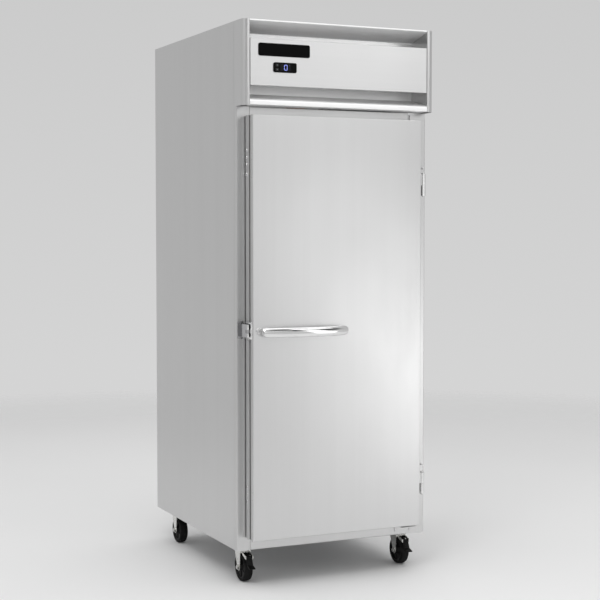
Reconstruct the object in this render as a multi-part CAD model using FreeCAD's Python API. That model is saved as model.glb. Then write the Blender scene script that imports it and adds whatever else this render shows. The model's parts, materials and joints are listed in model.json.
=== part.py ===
import FreeCAD, Part
import math
import os

from FreeCAD import Vector

"""Reach-in refrigerator: a one-door upright cabinet on casters with its machine bay on top.

Millimetres, +Z up. The origin is on the floor under the middle of the whole object's box. The
door faces -Y, its hinges are on the +X side, and every sub-part is one STEP file in parts/.
"""

# ---- driving dimensions -----------------------------------------------------------------
WIDTH = 746.0  # outside width of the cabinet
BODY_DEPTH = 858.0  # front face frame to back panel
HEIGHT = 1965.0  # floor to top rail
BASE_Z = 127.0  # underside of the cabinet, the height of the casters
DECK_Z = 1673.0  # top of the insulated box, where the machine bay starts

DOOR_LEFT_MARGIN = 32.0
DOOR_RIGHT_MARGIN = 56.0  # wider, because the hinge knuckles stand here
DOOR_BOTTOM_Z = 172.0
DOOR_TOP_Z = 1641.0
DOOR_FRONT = 71.0  # door face in front of the face frame
DOOR_GAP = 6.0  # face frame to the back of the door
HANDLE_REACH = 45.0  # how far the handle stands out from the door

WALL = 60.0  # insulated wall at the back and top
DOOR_OVERLAP = 28.0  # door edge past the edge of the opening
SHEET = 1.2
LINER = 1.0
STRIP = 10.0  # width of the plastic strip round the opening
STRIP_DEPTH = 14.0
FRAME_WRAP = 19.0  # how far the face frame wraps round the sides
SEAM = 0.8

HOOD_REACH = 60.0  # header in front of the face frame
HOOD_SIDE = 27.0  # width of the header's side frames
HOOD_CORNER = 18.0
HOOD_DEPTH = 55.0  # header's back wall behind the face frame
PANEL_BOTTOM_Z = 1741.5
PANEL_TOP_Z = 1901.5

HINGE_BACK = 35.0  # hinge axis in front of the face frame
HINGE_INSET = 27.0  # hinge axis in from the cabinet's side
HINGE_HEIGHT = 78.0
HINGE_CENTRES = (319.0, 1411.0)
PIN_RADIUS = 4.0
RUNNING = 0.05  # radial clearance of a pin that turns

WHEEL_RADIUS = 50.5
WHEEL_WIDTH = 32.0
CASTER_INSET_X = 58.0
CASTER_INSET_Y = 95.0
CASTER_TRAIL = 15.0
AXLE_RADIUS = 6.0

SHELF_LEVELS = (500.0, 815.0, 1130.0)

# ---- places worked out from them --------------------------------------------------------
X0, X1 = -WIDTH / 2, WIDTH / 2
TOTAL_DEPTH = BODY_DEPTH + DOOR_FRONT + HANDLE_REACH
BACK = TOTAL_DEPTH / 2
FACE = BACK - BODY_DEPTH  # plane of the face frame
DOOR_FACE = FACE - DOOR_FRONT
DX0, DX1 = X0 + DOOR_LEFT_MARGIN, X1 - DOOR_RIGHT_MARGIN
IX0, IX1 = DX0 + DOOR_OVERLAP, DX1 - DOOR_OVERLAP  # inside of the storage space
IZ0, IZ1 = DOOR_BOTTOM_Z + DOOR_OVERLAP, DECK_Z - WALL
IY0, IY1 = FACE + STRIP_DEPTH, BACK - WALL
MID_X = (IX0 + IX1) / 2
HINGE_X, HINGE_Y = X1 - HINGE_INSET, FACE - HINGE_BACK
HOOD_FRONT = FACE - HOOD_REACH
HOOD_BACK = FACE + HOOD_DEPTH
HX0, HX1 = X0 + HOOD_SIDE, X1 - HOOD_SIDE
OUTER_PAN_BACK = FACE - 50.0
INNER_PAN_FRONT = FACE - 38.0
INNER_PAN_BACK = FACE - DOOR_GAP


# ---- shape helpers ----------------------------------------------------------------------
def box(x0, x1, y0, y1, z0, z1):
    """Block between two opposite corners."""
    return Part.makeBox(x1 - x0, y1 - y0, z1 - z0, Vector(x0, y0, z0))


def rod(radius, start, end):
    """Round bar between two points."""
    start = Vector(*start)
    axis = Vector(*end) - start
    return Part.makeCylinder(radius, axis.Length, start, axis)


def tube(outer, inner, start, end):
    """Round bar with a bore along its axis."""
    return rod(outer, start, end).cut(rod(inner, start, end))


def fuse(shapes):
    """One solid from overlapping or touching shapes."""
    joined = shapes[0].multiFuse(shapes[1:]).removeSplitter()
    return joined.Solids[0] if len(joined.Solids) == 1 else joined


def group(solids):
    """Separate solids that share a node."""
    return Part.makeCompound(solids)


def mirrored(shape):
    """The same piece for the other side of the cabinet."""
    return shape.mirror(Vector(0, 0, 0), Vector(1, 0, 0))


def placed(u, v, axis, at):
    """Point (u, v) of a profile whose plane crosses the named axis at a distance."""
    return {"x": Vector(at, u, v), "y": Vector(u, at, v), "z": Vector(u, v, at)}[axis]


def extruded(edges, axis, start, end):
    """Closed profile drawn out along the named axis."""
    step = {"x": Vector(1, 0, 0), "y": Vector(0, 1, 0), "z": Vector(0, 0, 1)}[axis]
    return Part.Face(Part.Wire(edges)).extrude(step * (end - start))


def prism(points, axis, start, end):
    """Straight-sided profile drawn out along the named axis."""
    corners = [placed(u, v, axis, start) for u, v in points]
    edges = [Part.LineSegment(a, b).toShape() for a, b in zip(corners, corners[1:] + corners[:1])]
    return extruded(edges, axis, start, end)


def hexagon(u, v, radius, axis, start, end):
    """Hexagonal bolt head or nut on an axis through (u, v)."""
    turns = [math.radians(60 * n) for n in range(6)]
    corners = [(u + radius * math.cos(a), v + radius * math.sin(a)) for a in turns]
    return prism(corners, axis, start, end)


def bent_sheet(path, axis, start, end, radii, thickness=SHEET):
    """Folded sheet: flat runs joined by bends, thickened to the left of the path.

    path holds the corners of the outer line, and radii the inner bend radius at each of them.
    """
    runs = []
    for (ua, va), (ub, vb) in zip(path, path[1:]):
        length = math.hypot(ub - ua, vb - va)
        runs.append(((ub - ua) / length, (vb - va) / length))

    def side(offset):
        """Chain of (start, middle, end) pieces at an offset to the left of the path."""
        pieces = []
        here = (path[0][0] - runs[0][1] * offset, path[0][1] + runs[0][0] * offset)
        for corner, before, after, inner in zip(path[1:-1], runs, runs[1:], radii):
            turn = math.atan2(
                before[0] * after[1] - before[1] * after[0],
                before[0] * after[0] + before[1] * after[1],
            )
            hand = 1.0 if turn > 0 else -1.0
            on_path = inner + thickness if turn > 0 else inner
            reach = on_path * math.tan(abs(turn) / 2)
            centre = (
                corner[0] - before[0] * reach - before[1] * on_path * hand,
                corner[1] - before[1] * reach + before[0] * on_path * hand,
            )
            radius = on_path - hand * offset
            angle = math.atan2(before[1], before[0]) - hand * math.pi / 2
            bearings = [angle + part * turn for part in (0.0, 0.5, 1.0)]
            arc = [(centre[0] + radius * math.cos(a), centre[1] + radius * math.sin(a)) for a in bearings]
            pieces += [(here, None, arc[0]), tuple(arc)]
            here = arc[2]
        last = (path[-1][0] - runs[-1][1] * offset, path[-1][1] + runs[-1][0] * offset)
        return pieces + [(here, None, last)]

    near, far = side(0.0), side(thickness)
    loop = near + [(near[-1][2], None, far[-1][2])]
    loop += [(c, b, a) for a, b, c in reversed(far)] + [(far[0][0], None, near[0][0])]
    edges = []
    for a, middle, b in loop:
        first, last = placed(*a, axis, start), placed(*b, axis, start)
        if middle:
            edges.append(Part.Arc(first, placed(*middle, axis, start), last).toShape())
        elif first.distanceToPoint(last) > 1e-6:
            edges.append(Part.LineSegment(first, last).toShape())
    return extruded(edges, axis, start, end)


def edges_where(shape, test):
    """Edges whose two ends both pass a test on their points."""
    return [e for e in shape.Edges if len(e.Vertexes) == 2 and all(test(v.Point) for v in e.Vertexes)]


def soft_block(x0, x1, y0, y1, z0, z1, radius):
    """Block with every edge rounded."""
    block = box(x0, x1, y0, y1, z0, z1)
    return block.makeFillet(radius, block.Edges)


def rounded_plate(x0, x1, y0, y1, z0, z1, radius):
    """Plate that faces -Y, with round corners."""
    block = box(x0, x1, y0, y1, z0, z1)
    corners = [
        e for e in block.Edges
        if abs(e.Vertexes[0].X - e.Vertexes[1].X) < 1e-6 and abs(e.Vertexes[0].Z - e.Vertexes[1].Z) < 1e-6
    ]
    return block.makeFillet(radius, corners)


def tray(x0, x1, y0, y1, z0, z1, wall, radius, closed_at_front=True):
    """Folded pan: one big face and four sides, open at the front or at the back."""
    def shell(inset, corner):
        front = y0 + inset if closed_at_front else y0
        back = y1 if closed_at_front else y1 - inset
        block = box(x0 + inset, x1 - inset, front, back, z0 + inset, z1 - inset)
        face_y = front if closed_at_front else back
        return block.makeFillet(corner, edges_where(block, lambda p: abs(p.y - face_y) < 1e-6))

    return shell(0.0, radius).cut(shell(wall, radius - wall / 2))


def ring_of_strips(x0, x1, y0, y1, z0, z1, width):
    """Rectangular ring made of four separate strips."""
    return group([
        box(x0, x0 + width, y0, y1, z0, z1),
        box(x1 - width, x1, y0, y1, z0, z1),
        box(x0 + width, x1 - width, y0, y1, z0, z0 + width),
        box(x0 + width, x1 - width, y0, y1, z1 - width, z1),
    ])


def pipe(points, radius, bend):
    """Tube along straight runs joined by tangent arcs."""
    path = [Vector(*p) for p in points]
    edges, here = [], path[0]
    for before, corner, after in zip(path, path[1:], path[2:]):
        away, on = (corner - before).normalize(), (after - corner).normalize()
        turn = away.getAngle(on)
        reach = bend * math.tan(turn / 2)
        first, last = corner - away * reach, corner + on * reach
        inward = (on - away).normalize()
        middle = corner + inward * (bend / math.cos(turn / 2) - bend)
        edges += [Part.LineSegment(here, first).toShape(), Part.Arc(first, middle, last).toShape()]
        here = last
    edges.append(Part.LineSegment(here, path[-1]).toShape())
    section = Part.Wire(Part.makeCircle(radius, path[0], path[1] - path[0]))
    return Part.Wire(edges).makePipeShell([section], True, False)


# ---- cabinet ----------------------------------------------------------------------------
def left_side_panel():
    """Outer sheet of the side, turned in along the back edge."""
    path = [(X0 + 25, BACK), (X0, BACK), (X0, FACE + FRAME_WRAP + SEAM)]
    return bent_sheet(path, "z", BASE_Z, HEIGHT, [1.5])


def back_panel():
    """Outer sheet of the insulated box's back, behind the turned-in side edges."""
    return box(X0 + 3, X1 - 3, BACK - 2 * SHEET, BACK - SHEET, BASE_Z + 1.5, DECK_Z - 1.5)


def bottom_pan():
    """Sheet that closes the underside and takes the casters."""
    return box(X0 + 1.5, X1 - 1.5, FACE + FRAME_WRAP + SEAM, BACK - 3, BASE_Z, BASE_Z + SHEET)


def machine_deck():
    """Sheet on top of the insulated box, the floor of the machine bay."""
    return box(X0 + 1.5, X1 - 1.5, FACE + FRAME_WRAP + SEAM, BACK - 3, DECK_Z - SHEET, DECK_Z)


def face_frame():
    """Two stiles and two rails, folded from sheet, round the door opening."""
    wrap, turn = FACE + FRAME_WRAP, FACE + 12.0
    left, right = IX0 - STRIP, IX1 + STRIP
    low, high = IZ0 - STRIP, IZ1 + STRIP
    radii = [1.8, 1.0]
    return group([
        bent_sheet([(X0, wrap), (X0, FACE), (left, FACE), (left, turn)], "z", BASE_Z, DECK_Z, radii),
        bent_sheet([(right, turn), (right, FACE), (X1, FACE), (X1, wrap)], "z", BASE_Z, DECK_Z, radii[::-1]),
        bent_sheet([(turn, low), (FACE, low), (FACE, BASE_Z), (wrap, BASE_Z)], "x", left, right, radii[::-1]),
        bent_sheet([(wrap, DECK_Z), (FACE, DECK_Z), (FACE, high), (turn, high)], "x", left, right, radii),
    ])


def foam_insulation():
    """Foamed-in filling between the outer sheets and the liner."""
    skin, clear = 4.0, 2.5
    block = box(X0 + skin, X1 - skin, FACE + skin, BACK - 5, BASE_Z + skin, DECK_Z - skin)
    inside = box(IX0 - clear, IX1 + clear, FACE, IY1 + clear, IZ0 - clear, IZ1 + clear)
    mouth = STRIP + clear
    entry = box(IX0 - mouth, IX1 + mouth, FACE, IY0 + clear, IZ0 - mouth, IZ1 + mouth)
    grooves = [box(x - clear, x + clear, FACE, IY0, BASE_Z, DECK_Z) for x in (IX0 - STRIP, IX1 + STRIP)]
    return block.cut(inside).cut(Part.makeCompound([entry] + grooves))


def inner_liner():
    """Left, right, back, floor and ceiling sheets of the storage space."""
    return group([
        box(IX0 - LINER, IX0, IY0, IY1 + LINER, IZ0 - LINER, IZ1 + LINER),
        box(IX1, IX1 + LINER, IY0, IY1 + LINER, IZ0 - LINER, IZ1 + LINER),
        box(IX0, IX1, IY1, IY1 + LINER, IZ0 - LINER, IZ1 + LINER),
        box(IX0, IX1, IY0, IY1, IZ0 - LINER, IZ0),
        box(IX0, IX1, IY0, IY1, IZ1, IZ1 + LINER),
    ])


def breaker_strip():
    """Plastic strip that keeps the warm face frame off the cold liner."""
    return ring_of_strips(IX0 - STRIP, IX1 + STRIP, FACE + 0.6, IY0, IZ0 - STRIP, IZ1 + STRIP, STRIP)


# ---- shelves ----------------------------------------------------------------------------
PILASTER_WIDTH = 25.0
PILASTER_DEPTH = 8.0
PILASTER_Y = (IY0 + 110.0, IY1 - 110.0)
PILASTER_Z = (IZ0 + 15.0, 1425.0)
SLOT_PITCH = 25.4
SHELF_ROD = 4.0
SHELF_GAP = 16.0  # liner to the shelf's side rod centre
SHELF_FRONT, SHELF_BACK = IY0 + 36.0, IY1 - 24.0


def pilaster(y):
    """Slotted channel on the left liner wall."""
    x_in, x_wall = IX0 + PILASTER_DEPTH, IX0
    half = PILASTER_WIDTH / 2
    path = [(x_wall, y + half), (x_in, y + half), (x_in, y - half), (x_wall, y - half)]
    channel = bent_sheet([(u, v) for u, v in reversed(path)], "z", *PILASTER_Z, [0.8, 0.8])
    count = int((PILASTER_Z[1] - PILASTER_Z[0] - SLOT_PITCH) / SLOT_PITCH)
    slots = [
        box(x_in - 2, x_in + 1, y - 5, y + 5, z - 2, z + 2)
        for z in (PILASTER_Z[0] + SLOT_PITCH * (n + 1) for n in range(count))
    ]
    return channel.cut(Part.makeCompound(slots))


def across(shape):
    """The same piece on the opposite liner wall."""
    return shape.mirror(Vector(MID_X, 0, 0), Vector(1, 0, 0))


def shelf_pilasters():
    """Four slotted channels that carry the shelf clips."""
    left = [pilaster(y) for y in PILASTER_Y]
    return group(left + [across(p) for p in left])


def shelf_clips():
    """Twelve angle clips, four under each shelf."""
    clips = []
    x_in = IX0 + PILASTER_DEPTH
    for level in SHELF_LEVELS:
        seat = level - SHELF_ROD
        for y in PILASTER_Y:
            plate = box(x_in, x_in + 2, y - 8, y + 8, seat - 14, seat + 6)
            ledge = box(x_in, x_in + 15, y - 8, y + 8, seat - 2.5, seat)
            clips.append(fuse([plate, ledge]))
    return group(clips + [across(c) for c in clips])


def shelf(level):
    """Welded wire shelf: a rod frame, cross rods and close wires from front to back."""
    x_a, x_b = IX0 + SHELF_GAP, IX1 - SHELF_GAP
    corners = [(x_a, SHELF_FRONT), (x_b, SHELF_FRONT), (x_b, SHELF_BACK), (x_a, SHELF_BACK)]
    pieces = []
    for (xa, ya), (xb, yb) in zip(corners, corners[1:] + corners[:1]):
        pieces.append(rod(SHELF_ROD, (xa, ya, level), (xb, yb, level)))
        pieces.append(Part.makeSphere(SHELF_ROD, Vector(xa, ya, level)))
    for part in (0.25, 0.5, 0.75):
        y = SHELF_FRONT + (SHELF_BACK - SHELF_FRONT) * part
        pieces.append(rod(3.0, (x_a, y, level), (x_b, y, level)))
    wires = 22
    for n in range(wires):
        x = x_a + (x_b - x_a) * (n + 1) / (wires + 1)
        pieces.append(rod(1.75, (x, SHELF_FRONT, level + 3.2), (x, SHELF_BACK, level + 3.2)))
    return fuse(pieces)


# ---- cold side --------------------------------------------------------------------------
COVER_Z = (1448.0, IZ1 - 0.6)
COVER_Y = (10.0, IY1 - 8.0)
COVER_X = (IX0 + 22.0, IX1 - 22.0)
COLD_FAN_Z = 1530.0
COLD_FAN_RADIUS = 70.0


def finned_coil(x0, x1, y0, y1, z0, z1, fins, tube_rows, tube_radius=4.8):
    """Heat exchanger: thin fins on tubes that run along X, with return bends at both ends."""
    pitch = (x1 - x0) / (fins - 1)
    plates = [box(x0 + n * pitch - 0.6, x0 + n * pitch + 0.6, y0, y1, z0, z1) for n in range(fins)]
    tubes = []
    step = (z1 - z0) / tube_rows
    out = 14.0
    for y in (y0 + (y1 - y0) * 0.28, y0 + (y1 - y0) * 0.72):
        heights = [z0 + step * (n + 0.5) for n in range(tube_rows)]
        tubes += [rod(tube_radius, (x0 - out, y, z), (x1 + out, y, z)) for z in heights]
        for n, (low, high) in enumerate(zip(heights, heights[1:])):
            x_end = x1 + out if n % 2 == 0 else x0 - out
            tubes.append(rod(tube_radius, (x_end, y, low), (x_end, y, high)))
            tubes += [Part.makeSphere(tube_radius, Vector(x_end, y, z)) for z in (low, high)]
    return fuse(plates + tubes)


def fan_rotor(radius, hub, x, z, y_front, y_back, blades, bore):
    """Axial fan that turns about an axis along Y."""
    middle = (y_front + y_back) / 2
    depth = y_back - y_front
    parts = [rod(hub, (x, y_front, z), (x, y_back, z))]
    for n in range(blades):
        blade = box(hub - 4, radius, -1.0, 1.0, -radius * 0.3, radius * 0.3)
        blade.rotate(Vector(0, 0, 0), Vector(1, 0, 0), 62)
        blade.rotate(Vector(0, 0, 0), Vector(0, 1, 0), 360.0 * n / blades)
        blade.translate(Vector(x, middle, z))
        parts.append(blade)
    limits = rod(radius, (x, y_front, z), (x, y_front + depth, z))
    rotor = fuse([p.common(limits) for p in parts])
    return rotor.cut(rod(bore, (x, y_front - 1, z), (x, y_back + 1, z)))


def evaporator_cover():
    """Hanging cover with its fan motor, the motor's bracket and shaft."""
    cover = box(*COVER_X, *COVER_Y, *COVER_Z)
    inside = box(COVER_X[0] + SHEET, COVER_X[1] - SHEET, COVER_Y[0] + SHEET, COVER_Y[1] - SHEET,
                 COVER_Z[0] + SHEET, COVER_Z[1] + 1)
    outlet = rod(COLD_FAN_RADIUS + 4, (MID_X, COVER_Y[0] - 1, COLD_FAN_Z),
                 (MID_X, COVER_Y[0] + 3, COLD_FAN_Z))
    louvres = [
        box(MID_X - 190, MID_X + 190, y, y + 8, COVER_Z[0] - 1, COVER_Z[0] + 3)
        for y in (COVER_Y[1] - 150 + 22 * n for n in range(6))
    ]
    shell = cover.cut(inside).cut(outlet).cut(Part.makeCompound(louvres))
    y_motor = COVER_Y[0] + 62
    motor = rod(30, (MID_X, y_motor, COLD_FAN_Z), (MID_X, y_motor + 48, COLD_FAN_Z))
    shaft = rod(PIN_RADIUS, (MID_X, COVER_Y[0] + 22, COLD_FAN_Z), (MID_X, y_motor + 5, COLD_FAN_Z))
    hanger = box(MID_X - 12, MID_X + 12, y_motor + 6, y_motor + 40, COLD_FAN_Z + 20, COVER_Z[1])
    return group([shell, fuse([motor, shaft, hanger])])


def evaporator_coil():
    """Cold coil behind the fan."""
    return finned_coil(COVER_X[0] + 45, COVER_X[1] - 45, 165, 330, COVER_Z[0] + 16, IZ1 - 16, 34, 4)


def evaporator_fan():
    """Fan that pushes cold air into the storage space."""
    front = COVER_Y[0] + 20
    return fan_rotor(COLD_FAN_RADIUS, 20, MID_X, COLD_FAN_Z, front, front + 34, 5, PIN_RADIUS + RUNNING)


# ---- machine bay ------------------------------------------------------------------------
CONDENSER_X = (20.0, 320.0)
CONDENSER_Y = (-262.0, -205.0)
CONDENSER_Z = (DECK_Z + 14.0, DECK_Z + 226.0)
HOT_FAN_X = sum(CONDENSER_X) / 2
HOT_FAN_Z = sum(CONDENSER_Z) / 2
HOT_FAN_RADIUS = 92.0
COMPRESSOR_AT = (-170.0, 250.0)


def compressor():
    """Hermetic compressor: a domed can on a foot plate with four rubber-mounted feet."""
    x, y = COMPRESSOR_AT
    can = rod(74, (x, y, DECK_Z + 22), (x, y, DECK_Z + 178))
    can = can.makeFillet(34, [e for e in can.Edges if len(e.Vertexes) == 1 or e.isClosed()])
    seam = rod(77, (x, y, DECK_Z + 96), (x, y, DECK_Z + 102))
    plate = box(x - 88, x + 88, y - 62, y + 62, DECK_Z + 17, DECK_Z + 24)
    places = [(x + a * 74, y + b * 48) for a in (-1, 1) for b in (-1, 1)]
    feet = [rod(12, (*at, DECK_Z), (*at, DECK_Z + 18)) for at in places]
    terminal = box(x - 24, x + 24, y - 96, y - 66, DECK_Z + 70, DECK_Z + 124)
    return fuse([can, seam, plate, terminal] + feet)


def condenser_coil():
    """Hot coil at the front of the machine bay."""
    return finned_coil(CONDENSER_X[0] + 18, CONDENSER_X[1] - 18, *CONDENSER_Y, *CONDENSER_Z, 30, 6)


def condenser_shroud():
    """Fan shroud with its feet, motor, motor arms and shaft."""
    y0 = CONDENSER_Y[1] + 2
    wall = box(CONDENSER_X[0], CONDENSER_X[1], y0, y0 + 1.5, DECK_Z + 4, CONDENSER_Z[1] + 6)
    hole = rod(HOT_FAN_RADIUS + 5, (HOT_FAN_X, y0 - 1, HOT_FAN_Z), (HOT_FAN_X, y0 + 60, HOT_FAN_Z))
    lip = rod(HOT_FAN_RADIUS + 7, (HOT_FAN_X, y0, HOT_FAN_Z), (HOT_FAN_X, y0 + 34, HOT_FAN_Z))
    foot = box(CONDENSER_X[0], CONDENSER_X[1], y0, y0 + 40, DECK_Z, DECK_Z + 4)
    shell = fuse([wall, lip, foot]).cut(hole)
    y_motor = y0 + 46
    motor = rod(38, (HOT_FAN_X, y_motor, HOT_FAN_Z), (HOT_FAN_X, y_motor + 58, HOT_FAN_Z))
    shaft = rod(PIN_RADIUS, (HOT_FAN_X, y0 + 8, HOT_FAN_Z), (HOT_FAN_X, y_motor + 5, HOT_FAN_Z))
    post = box(HOT_FAN_X - 14, HOT_FAN_X + 14, y_motor + 10, y_motor + 44, DECK_Z, HOT_FAN_Z)
    return group([shell, fuse([motor, shaft, post])])


def condenser_fan():
    """Fan that draws air through the hot coil."""
    front = CONDENSER_Y[1] + 9
    return fan_rotor(HOT_FAN_RADIUS, 24, HOT_FAN_X, HOT_FAN_Z, front, front + 36, 5, PIN_RADIUS + RUNNING)


def refrigerant_tubes():
    """Discharge line, liquid line with its filter drier, and suction line."""
    x, y = COMPRESSOR_AT
    coil_x = CONDENSER_X[0] + 18
    top_z, low_z = CONDENSER_Z[1] - 18, CONDENSER_Z[0] + 18
    y_tube = CONDENSER_Y[0] + 16
    discharge = pipe([(x + 76, y, DECK_Z + 150), (x + 150, y, DECK_Z + 150), (x + 150, y_tube, DECK_Z + 150),
                      (x + 150, y_tube, top_z), (coil_x - 18, y_tube, top_z)], 4.0, 16)
    liquid = pipe([(coil_x - 18, y_tube, low_z), (coil_x - 60, y_tube, low_z),
                   (coil_x - 60, y_tube + 320, low_z), (coil_x - 60, y_tube + 320, DECK_Z + 2)], 3.2, 14)
    drier = rod(13, (coil_x - 60, y_tube + 70, low_z), (coil_x - 60, y_tube + 190, low_z))
    drier = drier.makeFillet(8, [e for e in drier.Edges if e.isClosed()])
    suction = pipe([(x, y + 76, DECK_Z + 60), (x, y + 130, DECK_Z + 60), (x + 190, y + 130, DECK_Z + 60),
                    (x + 190, y + 130, DECK_Z + 2)], 6.0, 20)
    return group([discharge, fuse([liquid, drier]), suction])


GLAND_X, GLAND_Z = -270.0, DECK_Z + 70.0


def electrical_box():
    """Wiring box behind the compressor, and the inlet gland through the rear grille."""
    half, front, back = 60.0, BACK - 110, BACK - 14
    case = soft_block(GLAND_X - half, GLAND_X + half, front, back, DECK_Z + 1, DECK_Z + 130, 3)
    gland = rod(10, (GLAND_X, back, GLAND_Z), (GLAND_X, BACK, GLAND_Z))
    return fuse([case, gland, hexagon(GLAND_X, GLAND_Z, 16, "y", back, BACK - 6)])


def rear_grille():
    """Louvred sheet across the back of the machine bay."""
    sheet = box(HX0, HX1, BACK - 2 * SHEET, BACK - SHEET, DECK_Z + 1, HEIGHT - 6)
    slots = []
    for column in (-115.0, 55.0, 225.0):
        for n in range(11):
            z = DECK_Z + 40 + 21 * n
            slots.append(box(column - 65, column + 65, BACK - 4, BACK, z, z + 7))
    gland = rod(18.5, (GLAND_X, BACK - 5, GLAND_Z), (GLAND_X, BACK, GLAND_Z))
    return sheet.cut(Part.makeCompound(slots + [gland]))


# ---- header -----------------------------------------------------------------------------
def header_side_frames():
    """Folded end frames of the header, with a rounded front corner."""
    path = [(X0, FACE + FRAME_WRAP), (X0, HOOD_FRONT), (HX0, HOOD_FRONT), (HX0, HOOD_BACK + 2)]
    left = bent_sheet(path, "z", DECK_Z, HEIGHT, [HOOD_CORNER - SHEET, 1.2])
    return group([left, mirrored(left)])


ROOF_BACK_Z = 1931.0  # where the sloping roof meets the back wall of the header
TOP_RAIL = 5.0
SILL_BACK_Z = 1720.5
SILL_FRONT_Z = 1694.0
SILL_ROLL = 12.0


def header_hood():
    """Narrow top rail and the roof that slopes down behind it."""
    path = [(FACE + FRAME_WRAP, HEIGHT), (HOOD_FRONT, HEIGHT), (HOOD_FRONT, HEIGHT - TOP_RAIL),
            (HOOD_BACK, ROOF_BACK_Z)]
    return bent_sheet(path, "x", HX0, HX1, [1.5, 0.6])


def header_sill():
    """Back wall, sloping sill, front lip and bottom flange in one folded sheet."""
    path = [(HOOD_BACK, ROOF_BACK_Z - 2), (HOOD_BACK, SILL_BACK_Z), (HOOD_FRONT, SILL_FRONT_Z),
            (HOOD_FRONT, DECK_Z + 2), (FACE + 10, DECK_Z + 2)]
    sheet = bent_sheet(path, "x", HX0, HX1, [1.5, SILL_ROLL, 2.0])
    vents = [
        box(x, x + 58, HOOD_BACK - 3, HOOD_BACK + 4, z, z + 12)
        for x in (HX0 + 20 + 75 * n for n in range(9))
        for z in (1770.0, 1792.0, 1814.0, 1836.0, 1858.0)
    ]
    return sheet.cut(Part.makeCompound(vents))


CONTROL_X = (X0 + 114.0, X0 + 200.0)
CONTROL_Z = (1788.0, 1822.0)
DISPLAY_X = (CONTROL_X[0] + 24.0, CONTROL_X[1] - 22.0)
DISPLAY_Z = (CONTROL_Z[0] + 5.0, CONTROL_Z[1] - 5.0)
KEY_X = (CONTROL_X[0] + 7.0, CONTROL_X[0] + 18.0)
KEY_ROWS = {
    "up": (CONTROL_Z[1] - 14.0, CONTROL_Z[1] - 5.0),
    "down": (CONTROL_Z[0] + 5.0, CONTROL_Z[0] + 14.0),
}
KEY_PLAY = 0.3
KEY_DEPTH = 4.0


def header_front_panel():
    """Flat front cover of the header, cut out for the controller."""
    pan = tray(HX0 + 1, HX1 - 1, HOOD_FRONT, HOOD_FRONT + 18, PANEL_BOTTOM_Z, PANEL_TOP_Z, SHEET, 2.0)
    hole = box(CONTROL_X[0] + 4, CONTROL_X[1] - 4, HOOD_FRONT - 1, HOOD_FRONT + 5,
               CONTROL_Z[0] + 3, CONTROL_Z[1] - 3)
    return pan.cut(hole)


def panel_brackets():
    """Two folded arms that hold the front panel off the header's back wall."""
    y0, y1 = HOOD_FRONT + SHEET, HOOD_BACK
    arms = []
    for x in (-300.0, 300.0):
        path = [(x + 24, y0), (x, y0), (x, y1), (x + 24, y1)]
        arms.append(bent_sheet(path[::-1], "z", 1875.0, 1895.0, [1.5, 1.5], 2.0))
    return group(arms)


def nameplate():
    """Blank plate with round corners and a slightly raised rim."""
    x0, x1, z0, z1 = X0 + 58.0, X0 + 251.0, 1842.0, 1886.0
    plate = rounded_plate(x0, x1, HOOD_FRONT - 2.5, HOOD_FRONT, z0, z1, 7)
    field = rounded_plate(x0 + 3, x1 - 3, HOOD_FRONT - 3, HOOD_FRONT - 2.1, z0 + 3, z1 - 3, 4.5)
    return plate.cut(field)


def controller_bezel():
    """Front bezel and case of the temperature controller."""
    bezel = rounded_plate(CONTROL_X[0], CONTROL_X[1], HOOD_FRONT - 4, HOOD_FRONT, *CONTROL_Z, 6)
    case = box(CONTROL_X[0] + 5, CONTROL_X[1] - 5, HOOD_FRONT - 1, HOOD_FRONT + 52,
               CONTROL_Z[0] + 4, CONTROL_Z[1] - 4)
    window = box(*DISPLAY_X, HOOD_FRONT - 5, HOOD_FRONT - 2, *DISPLAY_Z)
    wells = [box(KEY_X[0] - KEY_PLAY, KEY_X[1] + KEY_PLAY, HOOD_FRONT - 5, HOOD_FRONT + 1.5,
                 low - KEY_PLAY, high + KEY_PLAY) for low, high in KEY_ROWS.values()]
    return fuse([bezel, case]).cut(Part.makeCompound([window] + wells))


def controller_display():
    """Dark window over the digits."""
    return box(DISPLAY_X[0] + 0.2, DISPLAY_X[1] - 0.2, HOOD_FRONT - 3.8, HOOD_FRONT - 2,
               DISPLAY_Z[0] + 0.2, DISPLAY_Z[1] - 0.2)


def controller_key(name):
    """Key that is pressed into the bezel."""
    low, high = KEY_ROWS[name]
    return rounded_plate(KEY_X[0], KEY_X[1], HOOD_FRONT - 4.6, HOOD_FRONT - 4.6 + KEY_DEPTH, low, high, 2)


# ---- door -------------------------------------------------------------------------------
LATCH_Z = (873.0, 932.0)
LOCK_X, LOCK_Z = X0 + 53.0, 901.0
LOCK_RADIUS = 7.5
BOLT_Y = (DOOR_FACE + 6.0, DOOR_FACE + 15.0)
BOLT_Z = (LOCK_Z - 5.0, LOCK_Z + 5.0)
BOLT_X = (DX0 - 8.0, LOCK_X - LOCK_RADIUS - 2.0)
BOLT_TRAVEL = 12.0
BOLT_PLAY = 0.4


def bolt_slot(x0, x1):
    """Room for the lock bolt between two X planes."""
    return box(x0, x1, BOLT_Y[0] - BOLT_PLAY, BOLT_Y[1] + BOLT_PLAY,
               BOLT_Z[0] - BOLT_PLAY, BOLT_Z[1] + BOLT_PLAY)


def door_outer_pan():
    """Front skin of the door with its turned-back edges."""
    pan = tray(DX0, DX1, DOOR_FACE, OUTER_PAN_BACK, DOOR_BOTTOM_Z, DOOR_TOP_Z, SHEET, 2.4)
    keyhole = rod(LOCK_RADIUS + RUNNING, (LOCK_X, DOOR_FACE - 1, LOCK_Z), (LOCK_X, DOOR_FACE + 3, LOCK_Z))
    return pan.cut(keyhole).cut(bolt_slot(DX0 - 1, DX0 + 3))


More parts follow.
